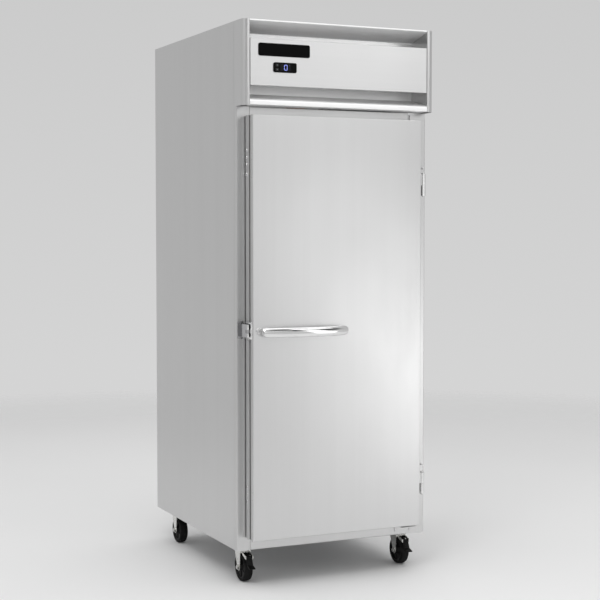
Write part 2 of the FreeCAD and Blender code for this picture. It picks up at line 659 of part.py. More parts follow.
def door_thermal_break():
    """Plastic joint between the outer and inner pans, set back from the door's edge."""
    inset, width = 3.0, 12.0
    outer = box(DX0 + inset, DX1 - inset, OUTER_PAN_BACK, INNER_PAN_FRONT,
                DOOR_BOTTOM_Z + inset, DOOR_TOP_Z - inset)
    back = inset + width
    inner = box(DX0 + back, DX1 - back, OUTER_PAN_BACK - 1, INNER_PAN_FRONT + 1,
                DOOR_BOTTOM_Z + back, DOOR_TOP_Z - back)
    return outer.cut(inner)


PLUG_INSET = 18.0  # raised middle of the inner pan, in from the opening
PLUG_HEIGHT = 8.0


def door_inner_pan():
    """Back skin of the door, with a raised middle that stands in the opening."""
    raised = (IX0 + PLUG_INSET, IX1 - PLUG_INSET)
    tall = (IZ0 + PLUG_INSET, IZ1 - PLUG_INSET)
    outside = box(DX0, DX1, INNER_PAN_FRONT, INNER_PAN_BACK, DOOR_BOTTOM_Z, DOOR_TOP_Z)
    outside = outside.makeFillet(2.4, edges_where(outside, lambda p: abs(p.y - INNER_PAN_BACK) < 1e-6))
    plug = box(*raised, INNER_PAN_BACK - 2, INNER_PAN_BACK + PLUG_HEIGHT, *tall)
    plug = plug.makeFillet(3, edges_where(plug, lambda p: abs(p.y - INNER_PAN_BACK - PLUG_HEIGHT) < 1e-6))
    hollow = box(DX0 + SHEET, DX1 - SHEET, INNER_PAN_FRONT - 1, INNER_PAN_BACK - SHEET,
                 DOOR_BOTTOM_Z + SHEET, DOOR_TOP_Z - SHEET)
    deep = box(raised[0] + SHEET, raised[1] - SHEET, INNER_PAN_BACK - 3, INNER_PAN_BACK + PLUG_HEIGHT - SHEET,
               tall[0] + SHEET, tall[1] - SHEET)
    return fuse([outside, plug]).cut(hollow).cut(deep)


def door_foam():
    """Foam core of the door, clear of the lock."""
    skin = 17.0
    core = box(DX0 + skin, DX1 - skin, DOOR_FACE + 2.5, INNER_PAN_BACK - 2.5,
               DOOR_BOTTOM_Z + skin, DOOR_TOP_Z - skin)
    pocket = box(DX0, LOCK_X + 30, DOOR_FACE, INNER_PAN_BACK, LOCK_Z - 40, LOCK_Z + 40)
    return core.cut(pocket)


def door_gasket():
    """Soft magnetic seal round the back of the door."""
    inset = 8.0
    return ring_of_strips(DX0 + inset, DX1 - inset, INNER_PAN_BACK, FACE - 0.4,
                          DOOR_BOTTOM_Z + inset, DOOR_TOP_Z - inset, 22.0)


def door_handle():
    """Horizontal pull: a bowed bar on two feet, cast in one piece."""
    x0, x1, z0, z1 = X0 + 64.0, X0 + 386.0, 878.0, 916.0
    mid, foot = (x0 + x1) / 2, 34.0
    front, shoulder = DOOR_FACE - HANDLE_REACH, DOOR_FACE - HANDLE_REACH + 21
    grip = 13.0

    def flat(x, y):
        return Vector(x, y, z0)

    outer = [
        Part.LineSegment(flat(x1, DOOR_FACE), flat(x0, DOOR_FACE)).toShape(),
        Part.LineSegment(flat(x0, DOOR_FACE), flat(x0, shoulder)).toShape(),
        Part.Arc(flat(x0, shoulder), flat(mid, front), flat(x1, shoulder)).toShape(),
        Part.LineSegment(flat(x1, shoulder), flat(x1, DOOR_FACE)).toShape(),
    ]
    inner_y = shoulder + grip - 9
    inner = [
        Part.LineSegment(flat(x1 - foot, DOOR_FACE + 1), flat(x0 + foot, DOOR_FACE + 1)).toShape(),
        Part.LineSegment(flat(x0 + foot, DOOR_FACE + 1), flat(x0 + foot, inner_y)).toShape(),
        Part.Arc(flat(x0 + foot, inner_y), flat(mid, front + grip), flat(x1 - foot, inner_y)).toShape(),
        Part.LineSegment(flat(x1 - foot, inner_y), flat(x1 - foot, DOOR_FACE + 1)).toShape(),
    ]
    bar = extruded(outer, "z", z0, z1)
    ends = [e for e in bar.Edges
            if abs(e.Vertexes[0].Z - e.Vertexes[-1].Z) > 1 and e.Vertexes[0].Y < DOOR_FACE - 1]
    bar = bar.makeFillet(14, ends)
    rims = [e for e in bar.Edges if all(v.Y < DOOR_FACE - 0.5 for v in e.Vertexes)
            and abs(e.Vertexes[0].Z - e.Vertexes[-1].Z) < 1e-6]
    bar = bar.makeFillet(6, rims)
    return bar.cut(extruded(inner, "z", z0, z1))


def latch_housing():
    """Chrome housing on the door's free edge that guides the lock bolt."""
    block = box(DX0 - 9, DX0, DOOR_FACE + 3, FACE - 25, *LATCH_Z)
    block = block.makeFillet(2.5, edges_where(block, lambda p: abs(p.x - DX0 + 9) < 1e-6))
    return block.cut(bolt_slot(DX0 - 10, DX0 + 1))


def latch_strike():
    """Chrome angle on the face frame with a window for the bolt."""
    base = box(X0 + 3, DX0 - 11, FACE - 4, FACE, *LATCH_Z)
    arm = box(DX0 - 21, DX0 - 15, DOOR_FACE + 2, FACE - 2, LATCH_Z[0] + 7, LATCH_Z[1] - 7)
    bracket = fuse([base, arm])
    return bracket.cut(bolt_slot(DX0 - 25, DX0 - 10))


def lock_cylinder():
    """Key cylinder, flush in the door face, with a keyway."""
    plug = rod(LOCK_RADIUS, (LOCK_X, DOOR_FACE - 4, LOCK_Z), (LOCK_X, OUTER_PAN_BACK - 1, LOCK_Z))
    keyway = box(LOCK_X - 0.9, LOCK_X + 0.9, DOOR_FACE - 5, DOOR_FACE + 8, LOCK_Z - 4, LOCK_Z + 4)
    return plug.cut(keyway)


def lock_bolt():
    """Square bolt that slides out of the door's free edge."""
    return box(*BOLT_X, *BOLT_Y, *BOLT_Z)


SPARE_HOLES_Z = (1522.0, 1497.5, 1473.0, 355.0, 329.0, 303.0)
PLUG_RADIUS = 4.5
COVER_CAP = (1439.0, 7.0)


def door_edge_screws():
    """Screw heads that fill the spare hinge holes in the door's free edge."""
    heads = []
    for z, radius in [(z, PLUG_RADIUS) for z in SPARE_HOLES_Z] + [COVER_CAP]:
        head = rod(radius, (DX0 - 2, FACE - 16, z), (DX0, FACE - 16, z))
        rim = [e for e in head.Edges if e.isClosed() and e.Vertexes[0].X < DX0 - 1]
        heads.append(head.makeFillet(1.2, rim))
    for z in (1510.0, 1488.0, 1427.0, 342.0, 316.0):
        heads.append(rod(2.2, (DX0 - 0.6, DOOR_FACE + 8, z), (DX0, DOOR_FACE + 8, z)))
    return group(heads)


# ---- hinges and stop --------------------------------------------------------------------
KNUCKLE = 9.0
KNUCKLE_GAP = 0.5


def hinge_frame_leaves():
    """Leaf on the face frame and its lower knuckle, twice."""
    leaves = []
    for centre in HINGE_CENTRES:
        z0, z1 = centre - HINGE_HEIGHT / 2, centre + HINGE_HEIGHT / 2
        leaf = box(HINGE_X - 16, X1 - 3, FACE - 4, FACE, z0, z1)
        arm = box(HINGE_X - 4, HINGE_X + 4, HINGE_Y, FACE - 2, z0, centre - KNUCKLE_GAP)
        knuckle = rod(KNUCKLE, (HINGE_X, HINGE_Y, z0), (HINGE_X, HINGE_Y, centre - KNUCKLE_GAP))
        bore = rod(PIN_RADIUS, (HINGE_X, HINGE_Y, z0 - 1), (HINGE_X, HINGE_Y, z1 + 1))
        leaves.append(fuse([leaf, arm, knuckle]).cut(bore))
    return group(leaves)


def hinge_door_leaves():
    """Leaf on the door's hinge edge and its upper knuckle, twice."""
    leaves = []
    for centre in HINGE_CENTRES:
        z0, z1 = centre - HINGE_HEIGHT / 2, centre + HINGE_HEIGHT / 2
        leaf = box(DX1, DX1 + 4, DOOR_FACE + 10, FACE - 12, z0, z1)
        arm = box(DX1 + 2, HINGE_X, HINGE_Y - 4, HINGE_Y + 4, centre + KNUCKLE_GAP, z1)
        knuckle = rod(KNUCKLE, (HINGE_X, HINGE_Y, centre + KNUCKLE_GAP), (HINGE_X, HINGE_Y, z1))
        bore = rod(PIN_RADIUS + RUNNING, (HINGE_X, HINGE_Y, z0 - 1), (HINGE_X, HINGE_Y, z1 + 1))
        leaves.append(fuse([leaf, arm, knuckle]).cut(bore))
    return group(leaves)


def hinge_pins():
    """Headed pins through both knuckles, fixed in the lower one."""
    pins = []
    for centre in HINGE_CENTRES:
        z0, z1 = centre - HINGE_HEIGHT / 2, centre + HINGE_HEIGHT / 2
        shank = rod(PIN_RADIUS, (HINGE_X, HINGE_Y, z0 - 3), (HINGE_X, HINGE_Y, z1 + 3))
        head = rod(6.5, (HINGE_X, HINGE_Y, z1 + 0.5), (HINGE_X, HINGE_Y, z1 + 5))
        head = head.makeFillet(2, [e for e in head.Edges if e.isClosed() and e.Vertexes[0].Z > z1 + 4])
        pins.append(fuse([shank, head]))
    return group(pins)


def door_stop():
    """Corner plate over the door and the stop bracket with its pin under it."""
    plate = rounded_plate(X1 - 67, X1 - 5, FACE - 5, FACE, DOOR_TOP_Z + 5, DECK_Z - 8, 3)
    path = [(FACE, BASE_Z + 12), (FACE, DOOR_BOTTOM_Z - 5), (FACE - 62, DOOR_BOTTOM_Z - 5)]
    bracket = bent_sheet(path, "x", X1 - 122, X1 - 64, [2.0], 2.5)
    pin = rod(3.5, (X1 - 89, FACE - 54, DOOR_BOTTOM_Z - 20), (X1 - 89, FACE - 54, DOOR_BOTTOM_Z - 6))
    return group([plate, fuse([bracket, pin])])


# ---- casters ----------------------------------------------------------------------------
CASTERS = {
    "front_left": (X0 + CASTER_INSET_X, FACE + CASTER_INSET_Y),
    "front_right": (X1 - CASTER_INSET_X, FACE + CASTER_INSET_Y),
    "rear_left": (X0 + CASTER_INSET_X, BACK - CASTER_INSET_Y),
    "rear_right": (X1 - CASTER_INSET_X, BACK - CASTER_INSET_Y),
}
PLATE_THICK = 3.0
RACE_Z = BASE_Z - PLATE_THICK - 5.0
CROWN_Z = (104.0, 110.0)
LEG_GAP = 18.0
LEG_THICK = 2.5
KINGPIN = 6.0
PEDAL_PIVOT = (-47.0, 93.0)  # forward of the axle, above the floor
PEDAL_PIN = 3.0


def caster_plates():
    """Mounting plates with their bearing races and bolt heads."""
    solids = []
    for x, y in CASTERS.values():
        plate = box(x - 36, x + 36, y - 46, y + 46, BASE_Z - PLATE_THICK, BASE_Z)
        race = rod(24, (x, y, RACE_Z), (x, y, BASE_Z - PLATE_THICK))
        places = [(x + a * 27, y + b * 37) for a in (-1, 1) for b in (-1, 1)]
        bolts = [rod(6, (*at, BASE_Z - PLATE_THICK - 5), (*at, BASE_Z - 1)) for at in places]
        bore = rod(KINGPIN + RUNNING, (x, y, RACE_Z - 1), (x, y, BASE_Z - PLATE_THICK + 1))
        solids.append(fuse([plate, race] + bolts).cut(bore))
    return group(solids)


def pedal_ear(x, y, hand):
    """Ear of a front fork that holds the brake pedal's pin."""
    middle = x + hand * 13.5
    side = (middle - 1.25, middle + 1.25)
    py, pz = y - CASTER_TRAIL + PEDAL_PIVOT[0], PEDAL_PIVOT[1]
    root = y - 30
    outline = [(root, CROWN_Z[1]), (root, CROWN_Z[0] - 2), (py - 5, pz - 5), (py - 5, pz + 6)]
    return prism(outline, "x", *side)


def caster_fork(name):
    """Swivel fork with tapered legs, its kingpin and the axle bolt."""
    x, y = CASTERS[name]
    ya = y - CASTER_TRAIL
    reach = LEG_GAP + LEG_THICK
    cup = rod(26, (x, y, CROWN_Z[1] - 2), (x, y, RACE_Z - 0.6))
    kingpin = rod(KINGPIN, (x, y, CROWN_Z[1]), (x, y, BASE_Z - PLATE_THICK))
    crown = box(x - reach, x + reach, y - 30, y + 22, *CROWN_Z)
    body = [cup, kingpin, crown]
    for hand in (-1, 1):
        low, high = sorted((x + hand * LEG_GAP, x + hand * reach))
        foot = WHEEL_RADIUS - 2
        outline = [(y - 30, CROWN_Z[1]), (y + 22, CROWN_Z[1]), (ya + 11, foot), (ya - 11, foot)]
        body.append(prism(outline, "x", low, high))
        body.append(rod(12, (low, ya, WHEEL_RADIUS), (high, ya, WHEEL_RADIUS)))
        if name.startswith("front"):
            body.append(pedal_ear(x, y, hand))
    fork = fuse(body).cut(rod(AXLE_RADIUS, (x - 40, ya, WHEEL_RADIUS), (x + 40, ya, WHEEL_RADIUS)))
    if name.startswith("front"):
        pivot = (ya + PEDAL_PIVOT[0], PEDAL_PIVOT[1])
        fork = fuse([fork, rod(PEDAL_PIN, (x - 15.5, *pivot), (x + 15.5, *pivot))])
    axle = rod(AXLE_RADIUS, (x - reach - 8, ya, WHEEL_RADIUS), (x + reach + 6, ya, WHEEL_RADIUS))
    head = hexagon(ya, WHEEL_RADIUS, 9.5, "x", x - reach - 5, x - reach)
    nut = hexagon(ya, WHEEL_RADIUS, 9.5, "x", x + reach, x + reach + 6)
    return group([fork, fuse([axle, head, nut])])


def caster_wheel(name):
    """Solid wheel with a soft-edged tread, recessed sides and a hub."""
    x, y = CASTERS[name]
    ya, z = y - CASTER_TRAIL, WHEEL_RADIUS
    half = WHEEL_WIDTH / 2
    tread = rod(WHEEL_RADIUS, (x - half, ya, z), (x + half, ya, z))
    tread = tread.makeFillet(7, [e for e in tread.Edges if e.isClosed()])
    recesses = [tube(38, 15, (x + hand * half, ya, z), (x + hand * (half - 6), ya, z)) for hand in (-1, 1)]
    hub = rod(13, (x - half - 1.2, ya, z), (x + half + 1.2, ya, z))
    wheel = fuse([tread.cut(Part.makeCompound(recesses)), hub])
    return wheel.cut(rod(AXLE_RADIUS + RUNNING, (x - 30, ya, z), (x + 30, ya, z)))


def brake_pedal(name):
    """Foot pedal that presses its shoe on the tread."""
    x, y = CASTERS[name]
    ya = y - CASTER_TRAIL
    py, pz = PEDAL_PIVOT
    path = [(ya + py - 3, pz - 2), (ya - 61, 67.0), (ya - 82, 60.0)]
    blade = bent_sheet(path, "x", x - 11, x + 11, [3.0], 3.5)
    barrel = rod(6.0, (x - 11, ya + py, pz), (x + 11, ya + py, pz))
    shoe = box(x - 9, x + 9, ya - 58, ya - 52.5, 68, 78)
    bore = rod(PEDAL_PIN + RUNNING, (x - 12, ya + py, pz), (x + 12, ya + py, pz))
    return fuse([blade, barrel, shoe]).cut(bore)


# ---- export -----------------------------------------------------------------------------
def build_nodes():
    """Every sub-part by its node name."""
    nodes = {
        "left_side_panel": left_side_panel(),
        "right_side_panel": mirrored(left_side_panel()),
        "back_panel": back_panel(),
        "bottom_pan": bottom_pan(),
        "machine_deck": machine_deck(),
        "face_frame": face_frame(),
        "foam_insulation": foam_insulation(),
        "inner_liner": inner_liner(),
        "breaker_strip": breaker_strip(),
        "shelf_pilasters": shelf_pilasters(),
        "shelf_clips": shelf_clips(),
        "evaporator_cover": evaporator_cover(),
        "evaporator_coil": evaporator_coil(),
        "evaporator_fan": evaporator_fan(),
        "compressor": compressor(),
        "condenser_coil": condenser_coil(),
        "condenser_shroud": condenser_shroud(),
        "condenser_fan": condenser_fan(),
        "refrigerant_tubes": refrigerant_tubes(),
        "electrical_box": electrical_box(),
        "rear_grille": rear_grille(),
        "header_side_frames": header_side_frames(),
        "header_hood": header_hood(),
        "header_sill": header_sill(),
        "header_front_panel": header_front_panel(),
        "panel_brackets": panel_brackets(),
        "nameplate": nameplate(),
        "controller_bezel": controller_bezel(),
        "controller_display": controller_display(),
        "controller_key_up": controller_key("up"),
        "controller_key_down": controller_key("down"),
        "door_outer_pan": door_outer_pan(),
        "door_thermal_break": door_thermal_break(),
        "door_inner_pan": door_inner_pan(),
        "door_foam": door_foam(),
        "door_gasket": door_gasket(),
        "door_handle": door_handle(),
        "latch_housing": latch_housing(),
        "latch_strike": latch_strike(),
        "lock_cylinder": lock_cylinder(),
        "lock_bolt": lock_bolt(),
        "door_edge_screws": door_edge_screws(),
        "hinge_frame_leaves": hinge_frame_leaves(),
        "hinge_door_leaves": hinge_door_leaves(),
        "hinge_pins": hinge_pins(),
        "door_stop": door_stop(),
        "caster_plates": caster_plates(),
    }
    lowest = shelf(SHELF_LEVELS[0])
    for place, level in zip(("bottom", "middle", "top"), SHELF_LEVELS):
        moved = lowest.copy()
        moved.translate(Vector(0, 0, level - SHELF_LEVELS[0]))
        nodes[f"shelf_{place}"] = moved
    for name in CASTERS:
        nodes[f"caster_fork_{name}"] = caster_fork(name)
        nodes[f"caster_wheel_{name}"] = caster_wheel(name)
        if name.startswith("front"):
            nodes[f"brake_pedal_{name}"] = brake_pedal(name)
    return nodes


def main():
    """Write one STEP file per sub-part."""
    os.makedirs("parts", exist_ok=True)
    for name, shape in build_nodes().items():
        shape.exportStep(f"parts/{name}.step")
        print(name, len(shape.Solids), round(shape.Volume / 1000), shape.isValid())


main()
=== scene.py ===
"""Visual model of an upright reach-in refrigerator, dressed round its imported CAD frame.

Metres, +Z up. The door faces -Y and is hinged on +X. Each sub-assembly is a class: its sizes
are dataclass fields in millimetres, and its methods model and finish its pieces.
"""
import json
import logging
import math
from dataclasses import dataclass
from enum import Enum
from typing import Optional, Sequence, Union

import bpy
from mathutils import Matrix, Vector


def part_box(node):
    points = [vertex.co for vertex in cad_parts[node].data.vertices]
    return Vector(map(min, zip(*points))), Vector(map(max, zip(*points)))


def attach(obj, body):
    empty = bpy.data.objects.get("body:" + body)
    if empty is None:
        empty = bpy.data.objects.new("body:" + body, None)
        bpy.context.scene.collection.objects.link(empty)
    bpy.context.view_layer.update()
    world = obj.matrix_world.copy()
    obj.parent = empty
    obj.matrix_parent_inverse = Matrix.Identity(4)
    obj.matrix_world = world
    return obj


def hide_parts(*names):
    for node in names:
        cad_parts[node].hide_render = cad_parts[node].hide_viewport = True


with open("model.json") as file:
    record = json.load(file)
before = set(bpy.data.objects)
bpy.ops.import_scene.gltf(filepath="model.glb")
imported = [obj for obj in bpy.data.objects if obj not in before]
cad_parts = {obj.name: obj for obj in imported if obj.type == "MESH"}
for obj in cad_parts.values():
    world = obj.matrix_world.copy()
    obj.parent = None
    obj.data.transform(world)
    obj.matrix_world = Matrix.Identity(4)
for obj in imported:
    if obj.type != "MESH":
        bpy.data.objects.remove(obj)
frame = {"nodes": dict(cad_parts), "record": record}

LOG = logging.getLogger("refrigerator")
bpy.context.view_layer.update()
MM = 0.001

Colour = tuple[float, float, float]
Point = tuple[float, float, float]
Pair = tuple[float, float]
Piece = bpy.types.Object
Material = bpy.types.Material


# ---- shader graph -----------------------------------------------------------------------
@dataclass(frozen=True)
class Value:
    """An output socket of a material graph that takes part in Python arithmetic."""

    graph: "Graph"
    socket: bpy.types.NodeSocket

    def __add__(self, other: "Term") -> "Value":
        """Sum."""
        return self.graph.maths("ADD", self, other)

    __radd__ = __add__

    def __sub__(self, other: "Term") -> "Value":
        """Difference."""
        return self.graph.maths("SUBTRACT", self, other)

    def __rsub__(self, other: "Term") -> "Value":
        """Difference from a number."""
        return self.graph.maths("SUBTRACT", other, self)

    def __mul__(self, other: "Term") -> "Value":
        """Product."""
        return self.graph.maths("MULTIPLY", self, other)

    __rmul__ = __mul__

    def band(self, low: float, high: float, start: float = 0.0, end: float = 1.0) -> "Value":
        """Clamped change from start to end while this value goes from low to high.

        Args:
            low: Value where the change starts.
            high: Value where it ends.
            start: Result at and below low.
            end: Result at and above high.

        Returns:
            The remapped value.
        """
        sockets = {"Value": self, "From Min": low, "From Max": high, "To Min": start, "To Max": end}
        return self.graph.node("ShaderNodeMapRange", {"clamp": True}, sockets)


Term = Union[Value, float]


class Graph:
    """The node tree of one material, with one Principled shader at its end."""

    def __init__(self, name: str) -> None:
        """Starts an empty material.

        Args:
            name: Name of the material.
        """
        self.material = bpy.data.materials.new(name)
        self.material.use_nodes = True
        self.tree = self.material.node_tree
        self.tree.nodes.clear()
        self.shader = self.tree.nodes.new("ShaderNodeBsdfPrincipled")
        end = self.tree.nodes.new("ShaderNodeOutputMaterial")
        self.tree.links.new(self.shader.outputs[0], end.inputs[0])

    def feed(self, socket: bpy.types.NodeSocket, value: object) -> None:
        """Links a value to a socket, or sets the socket's own number.

        Args:
            socket: The input socket.
            value: A Value, a number, or a tuple of numbers.
        """
        if isinstance(value, Value):
            self.tree.links.new(value.socket, socket)
        else:
            socket.default_value = value

    def node(self, kind: str, settings: Optional[dict] = None, sockets: Optional[dict] = None,
             output: Union[int, str] = 0) -> Value:
        """Adds a node.

        Args:
            kind: The node's type name.
            settings: Properties to set first.
            sockets: Values or links for its inputs, by name or number.
            output: Which output to give back.

        Returns:
            The chosen output.
        """
        node = self.tree.nodes.new(kind)
        for key, value in (settings or {}).items():
            setattr(node, key, value)
        for key, value in (sockets or {}).items():
            self.feed(node.inputs[key], value)
        return Value(self, node.outputs[output])

    def maths(self, operation: str, first: Term, second: Term) -> Value:
        """One Math node.

        Args:
            operation: The Math node's operation.
            first: Left operand.
            second: Right operand.

        Returns:
            The result.
        """
        return self.node("ShaderNodeMath", {"operation": operation}, {0: first, 1: second})

    def place(self, scale: Point = (1.0, 1.0, 1.0), shift: Point = (0.0, 0.0, 0.0)) -> Value:
        """Object coordinates, scaled and shifted.

        Args:
            scale: Cells per metre along each axis.
            shift: Offset after scaling.

        Returns:
            The coordinates.
        """
        where = self.node("ShaderNodeTexCoord", output="Object")
        return self.node("ShaderNodeMapping", None, {"Vector": where, "Scale": scale, "Location": shift})

    def along(self, axis: int) -> Value:
        """Distance along one axis in metres, 0 for X, 1 for Y, 2 for Z."""
        where = self.node("ShaderNodeTexCoord", output="Object")
        return self.node("ShaderNodeSeparateXYZ", None, {0: where}, output=axis)

    def noise(self, scale: Point, detail: float = 2.0, roughness: float = 0.5, shift: float = 0.0) -> Value:
        """Soft noise from 0 to 1.

        Args:
            scale: Cells per metre along each axis.
            detail: Octaves.
            roughness: How strong the fine octaves are.
            shift: Offset, so that two noises differ.

        Returns:
            The noise.
        """
        at = self.place(scale, (shift, shift, shift))
        return self.node("ShaderNodeTexNoise", None,
                         {"Vector": at, "Scale": 1.0, "Detail": detail, "Roughness": roughness})

    def cells(self, scale: float, output: str = "Distance") -> Value:
        """Cell pattern.

        Args:
            scale: Cells per metre.
            output: The Voronoi output to use.

        Returns:
            The pattern.
        """
        return self.node("ShaderNodeTexVoronoi", None, {"Vector": self.place(), "Scale": scale}, output=output)

    def blend(self, share: Term, low: Union[Colour, Value], high: Union[Colour, Value]) -> Value:
        """Mix of two colours.

        Args:
            share: 0 for low, 1 for high.
            low: First colour.
            high: Second colour.

        Returns:
            The mixed colour.
        """
        pair = [c if isinstance(c, Value) else (*c, 1.0) for c in (low, high)]
        return self.node("ShaderNodeMix", {"data_type": "RGBA"}, {0: share, 6: pair[0], 7: pair[1]}, output=2)

    def bump(self, height: Value, depth: float) -> Value:
        """Normal from a height.

        Args:
            height: Height from 0 to 1.
            depth: How many metres a height of 1 stands for.

        Returns:
            The normal.
        """
        return self.node("ShaderNodeBump", None, {"Height": height, "Distance": depth}, output="Normal")

    def surface(self, **sockets: object) -> Material:
        """Feeds the Principled shader and gives the material.

        Args:
            **sockets: Inputs by name, with underscores for spaces and colours as three numbers.

        Returns:
            The finished material.
        """
        for name, value in sockets.items():
            full = (*value, 1.0) if isinstance(value, tuple) and len(value) == 3 else value
            self.feed(self.shader.inputs[name.replace("_", " ")], full)
        return self.material


# ---- finishes ---------------------------------------------------------------------------
class Grain(Enum):
    """Direction of a brushed grain, as cells per metre along each axis."""

    UPRIGHT = (420.0, 420.0, 2.5)
    ACROSS = (2.5, 420.0, 420.0)


def grey(level: float, warmth: float = 0.0) -> Colour:
    """A neutral colour, or a slightly warm or cool one."""
    return (level * (1.0 + warmth), level, level * (1.0 - warmth))


@dataclass(frozen=True)
class BrushedSteel:
    """Stainless sheet with a fine grain, faint streaks and the marks of wiping."""

    tone: float = 0.62
    roughness: float = 0.30
    grain: Grain = Grain.UPRIGHT
    streaks: float = 0.02
    smudges: float = 0.05
    grain_depth: float = 0.00001
    # metal below 1, with a raised tone, lets the sill and hood pick up painted light in the header recess
    metal: float = 1.0

    def make(self, name: str) -> Material:
        """Builds the material.

        Args:
            name: Its name.

        Returns:
            The material.
        """
        g = Graph(name)
        fine = g.noise(self.grain.value, 3.0, 0.6)
        wide = g.noise(tuple(max(c / 14.0, 0.35) for c in self.grain.value), 2.0, 0.5, 7.0)
        wiped = g.noise((5.0, 5.0, 3.0), 4.0, 0.55, 3.0).band(0.35, 0.75)
        share = (fine * 0.45 + wide * 0.55).band(0.25, 0.75)
        colour = g.blend(share, grey(self.tone * (1.0 - self.streaks)), grey(self.tone * (1.0 + self.streaks)))
        rough = self.roughness + (fine - 0.5) * 0.10 + wiped * self.smudges
        return g.surface(Base_Color=colour, Metallic=self.metal, Roughness=rough,
                         Normal=g.bump(fine, self.grain_depth))


@dataclass(frozen=True)
class Galvanised:
    """Zinc-coated sheet with a faint spangle."""

    tone: float = 0.52
    roughness: float = 0.42

    def make(self, name: str) -> Material:
        """Builds the material.

        Args:
            name: Its name.

        Returns:
            The material.
        """
        g = Graph(name)
        spangle = g.node("ShaderNodeSeparateColor", None, {0: g.cells(70.0, "Color")})
        cloud = g.noise((4.0, 4.0, 4.0), 3.0, 0.5)
        share = (spangle * 0.6 + cloud * 0.4).band(0.15, 0.85)
        colour = g.blend(share, grey(self.tone * 0.86, -0.01), grey(self.tone * 1.08, -0.005))
        return g.surface(Base_Color=colour, Metallic=0.95, Roughness=spangle * 0.14 + self.roughness - 0.05,
                         Normal=g.bump(spangle, 0.00002))


@dataclass(frozen=True)
class Plated:
    """Bright chrome or zinc plate, with handling marks that dull its gloss and darken it a little."""

    colour: Colour = (0.80, 0.80, 0.80)
    roughness: float = 0.07
    marks: float = 0.08

    def make(self, name: str) -> Material:
        """Builds the material.

        Args:
            name: Its name.

        Returns:
            The material.
        """
        g = Graph(name)
        smear = g.noise((24.0, 24.0, 60.0), 4.0, 0.6).band(0.42, 0.72)
        pits = g.noise((700.0, 700.0, 700.0), 2.0, 0.5, 2.0)
        dark = tuple(c * 0.90 for c in self.colour)
        return g.surface(Base_Color=g.blend(smear, self.colour, dark), Metallic=1.0,
                         Roughness=smear * self.marks + self.roughness, Normal=g.bump(pits, 0.000004))


@dataclass(frozen=True)
class Painted:
    """Enamel or epoxy coat with a slight orange peel and cloudy patches of dust."""

    colour: Colour = (0.03, 0.03, 0.032)
    roughness: float = 0.38
    dust: float = 0.12

    def make(self, name: str) -> Material:
        """Builds the material.

        Args:
            name: Its name.

        Returns:
            The material.
        """
        g = Graph(name)
        peel = g.noise((380.0, 380.0, 380.0), 2.0, 0.5)
        cloud = g.noise((14.0, 14.0, 14.0), 4.0, 0.6, 5.0).band(0.45, 0.80)
        dusty = tuple(c + (0.42 - c) * self.dust for c in self.colour)
        return g.surface(Base_Color=g.blend(cloud, self.colour, dusty),
                         Roughness=cloud * 0.18 + peel * 0.06 + self.roughness, Normal=g.bump(peel, 0.00003))


@dataclass(frozen=True)
class Moulded:
    """Moulded plastic, matt or glossy, with a fine tool texture."""

    colour: Colour = (0.22, 0.22, 0.22)
    roughness: float = 0.5
    texture: float = 0.00003
    specular: float = 0.5

    def make(self, name: str) -> Material:
        """Builds the material.

        Args:
            name: Its name.

        Returns:
            The material.
        """
        g = Graph(name)
        leather = g.cells(1400.0)
        cloud = g.noise((20.0, 20.0, 20.0), 3.0, 0.5, 1.0)
        light = tuple(c * 1.15 + 0.0005 for c in self.colour)
        return g.surface(Base_Color=g.blend(cloud, self.colour, light), Specular_IOR_Level=self.specular,
                         Roughness=cloud * 0.12 + self.roughness - 0.04, Normal=g.bump(leather, self.texture))


@dataclass(frozen=True)
class Rubber:
    """Solid rubber with scattered patches of pale dust."""

    colour: Colour = (0.016, 0.016, 0.017)
    dusty: float = 0.04
    roughness: float = 0.6
    specular: float = 0.35

    def make(self, name: str) -> Material:
        """Builds the material.

        Args:
            name: Its name.

        Returns:
            The material.
        """
        g = Graph(name)
        skin = g.noise((260.0, 260.0, 260.0), 3.0, 0.6)
        patches = g.noise((45.0, 45.0, 45.0), 4.0, 0.6, 4.0).band(0.45, 0.70)
        scuffs = patches * self.dusty
        colour = g.blend(scuffs, self.colour, (0.35, 0.34, 0.33))
        return g.surface(Base_Color=colour, Roughness=skin * 0.16 + self.roughness - 0.08,
                         Specular_IOR_Level=self.specular, Normal=g.bump(skin, 0.00008))


@dataclass(frozen=True)
class BareAluminium:
    """Bare sheet: the liner, the fins and the fan blades."""

    tone: float = 0.72
    roughness: float = 0.34
    grain: Grain = Grain.UPRIGHT

    def make(self, name: str) -> Material:
        """Builds the material.

        Args:
            name: Its name.

        Returns:
            The material.
        """
        g = Graph(name)
        fine = g.noise(self.grain.value, 2.0, 0.6, 2.0)
        cloud = g.noise((6.0, 6.0, 6.0), 3.0, 0.5)
        share = (fine * 0.5 + cloud * 0.5).band(0.3, 0.7)
        colour = g.blend(share, grey(self.tone * 0.94, -0.004), grey(self.tone * 1.04))
        return g.surface(Base_Color=colour, Metallic=1.0, Roughness=cloud * 0.12 + self.roughness - 0.05,
                         Normal=g.bump(fine, 0.000008))


@dataclass(frozen=True)
class CoilFins:
    """Aluminium fins in the middle of a coil and copper on the tube bends past its ends."""

    left: float
    right: float
    edge: Pair = (0.0008, 0.0012)

    def make(self, name: str) -> Material:
        """Builds the material.

        Args:
            name: Its name.

        Returns:
            The material.
        """
        g = Graph(name)
        x = g.along(0)
        near, far = self.edge
        ends = x.band(self.left - far, self.left - near, 1.0, 0.0) + x.band(self.right + near, self.right + far)
        cloud = g.noise((30.0, 30.0, 30.0), 3.0, 0.5)
        fins = g.blend(cloud, (0.56, 0.57, 0.58), (0.72, 0.73, 0.74))
        copper = g.blend(cloud, (0.55, 0.25, 0.14), (0.78, 0.42, 0.27))
        return g.surface(Base_Color=g.blend(ends, fins, copper), Metallic=1.0,
                         Roughness=cloud * 0.15 + 0.28, Normal=g.bump(cloud, 0.00003))


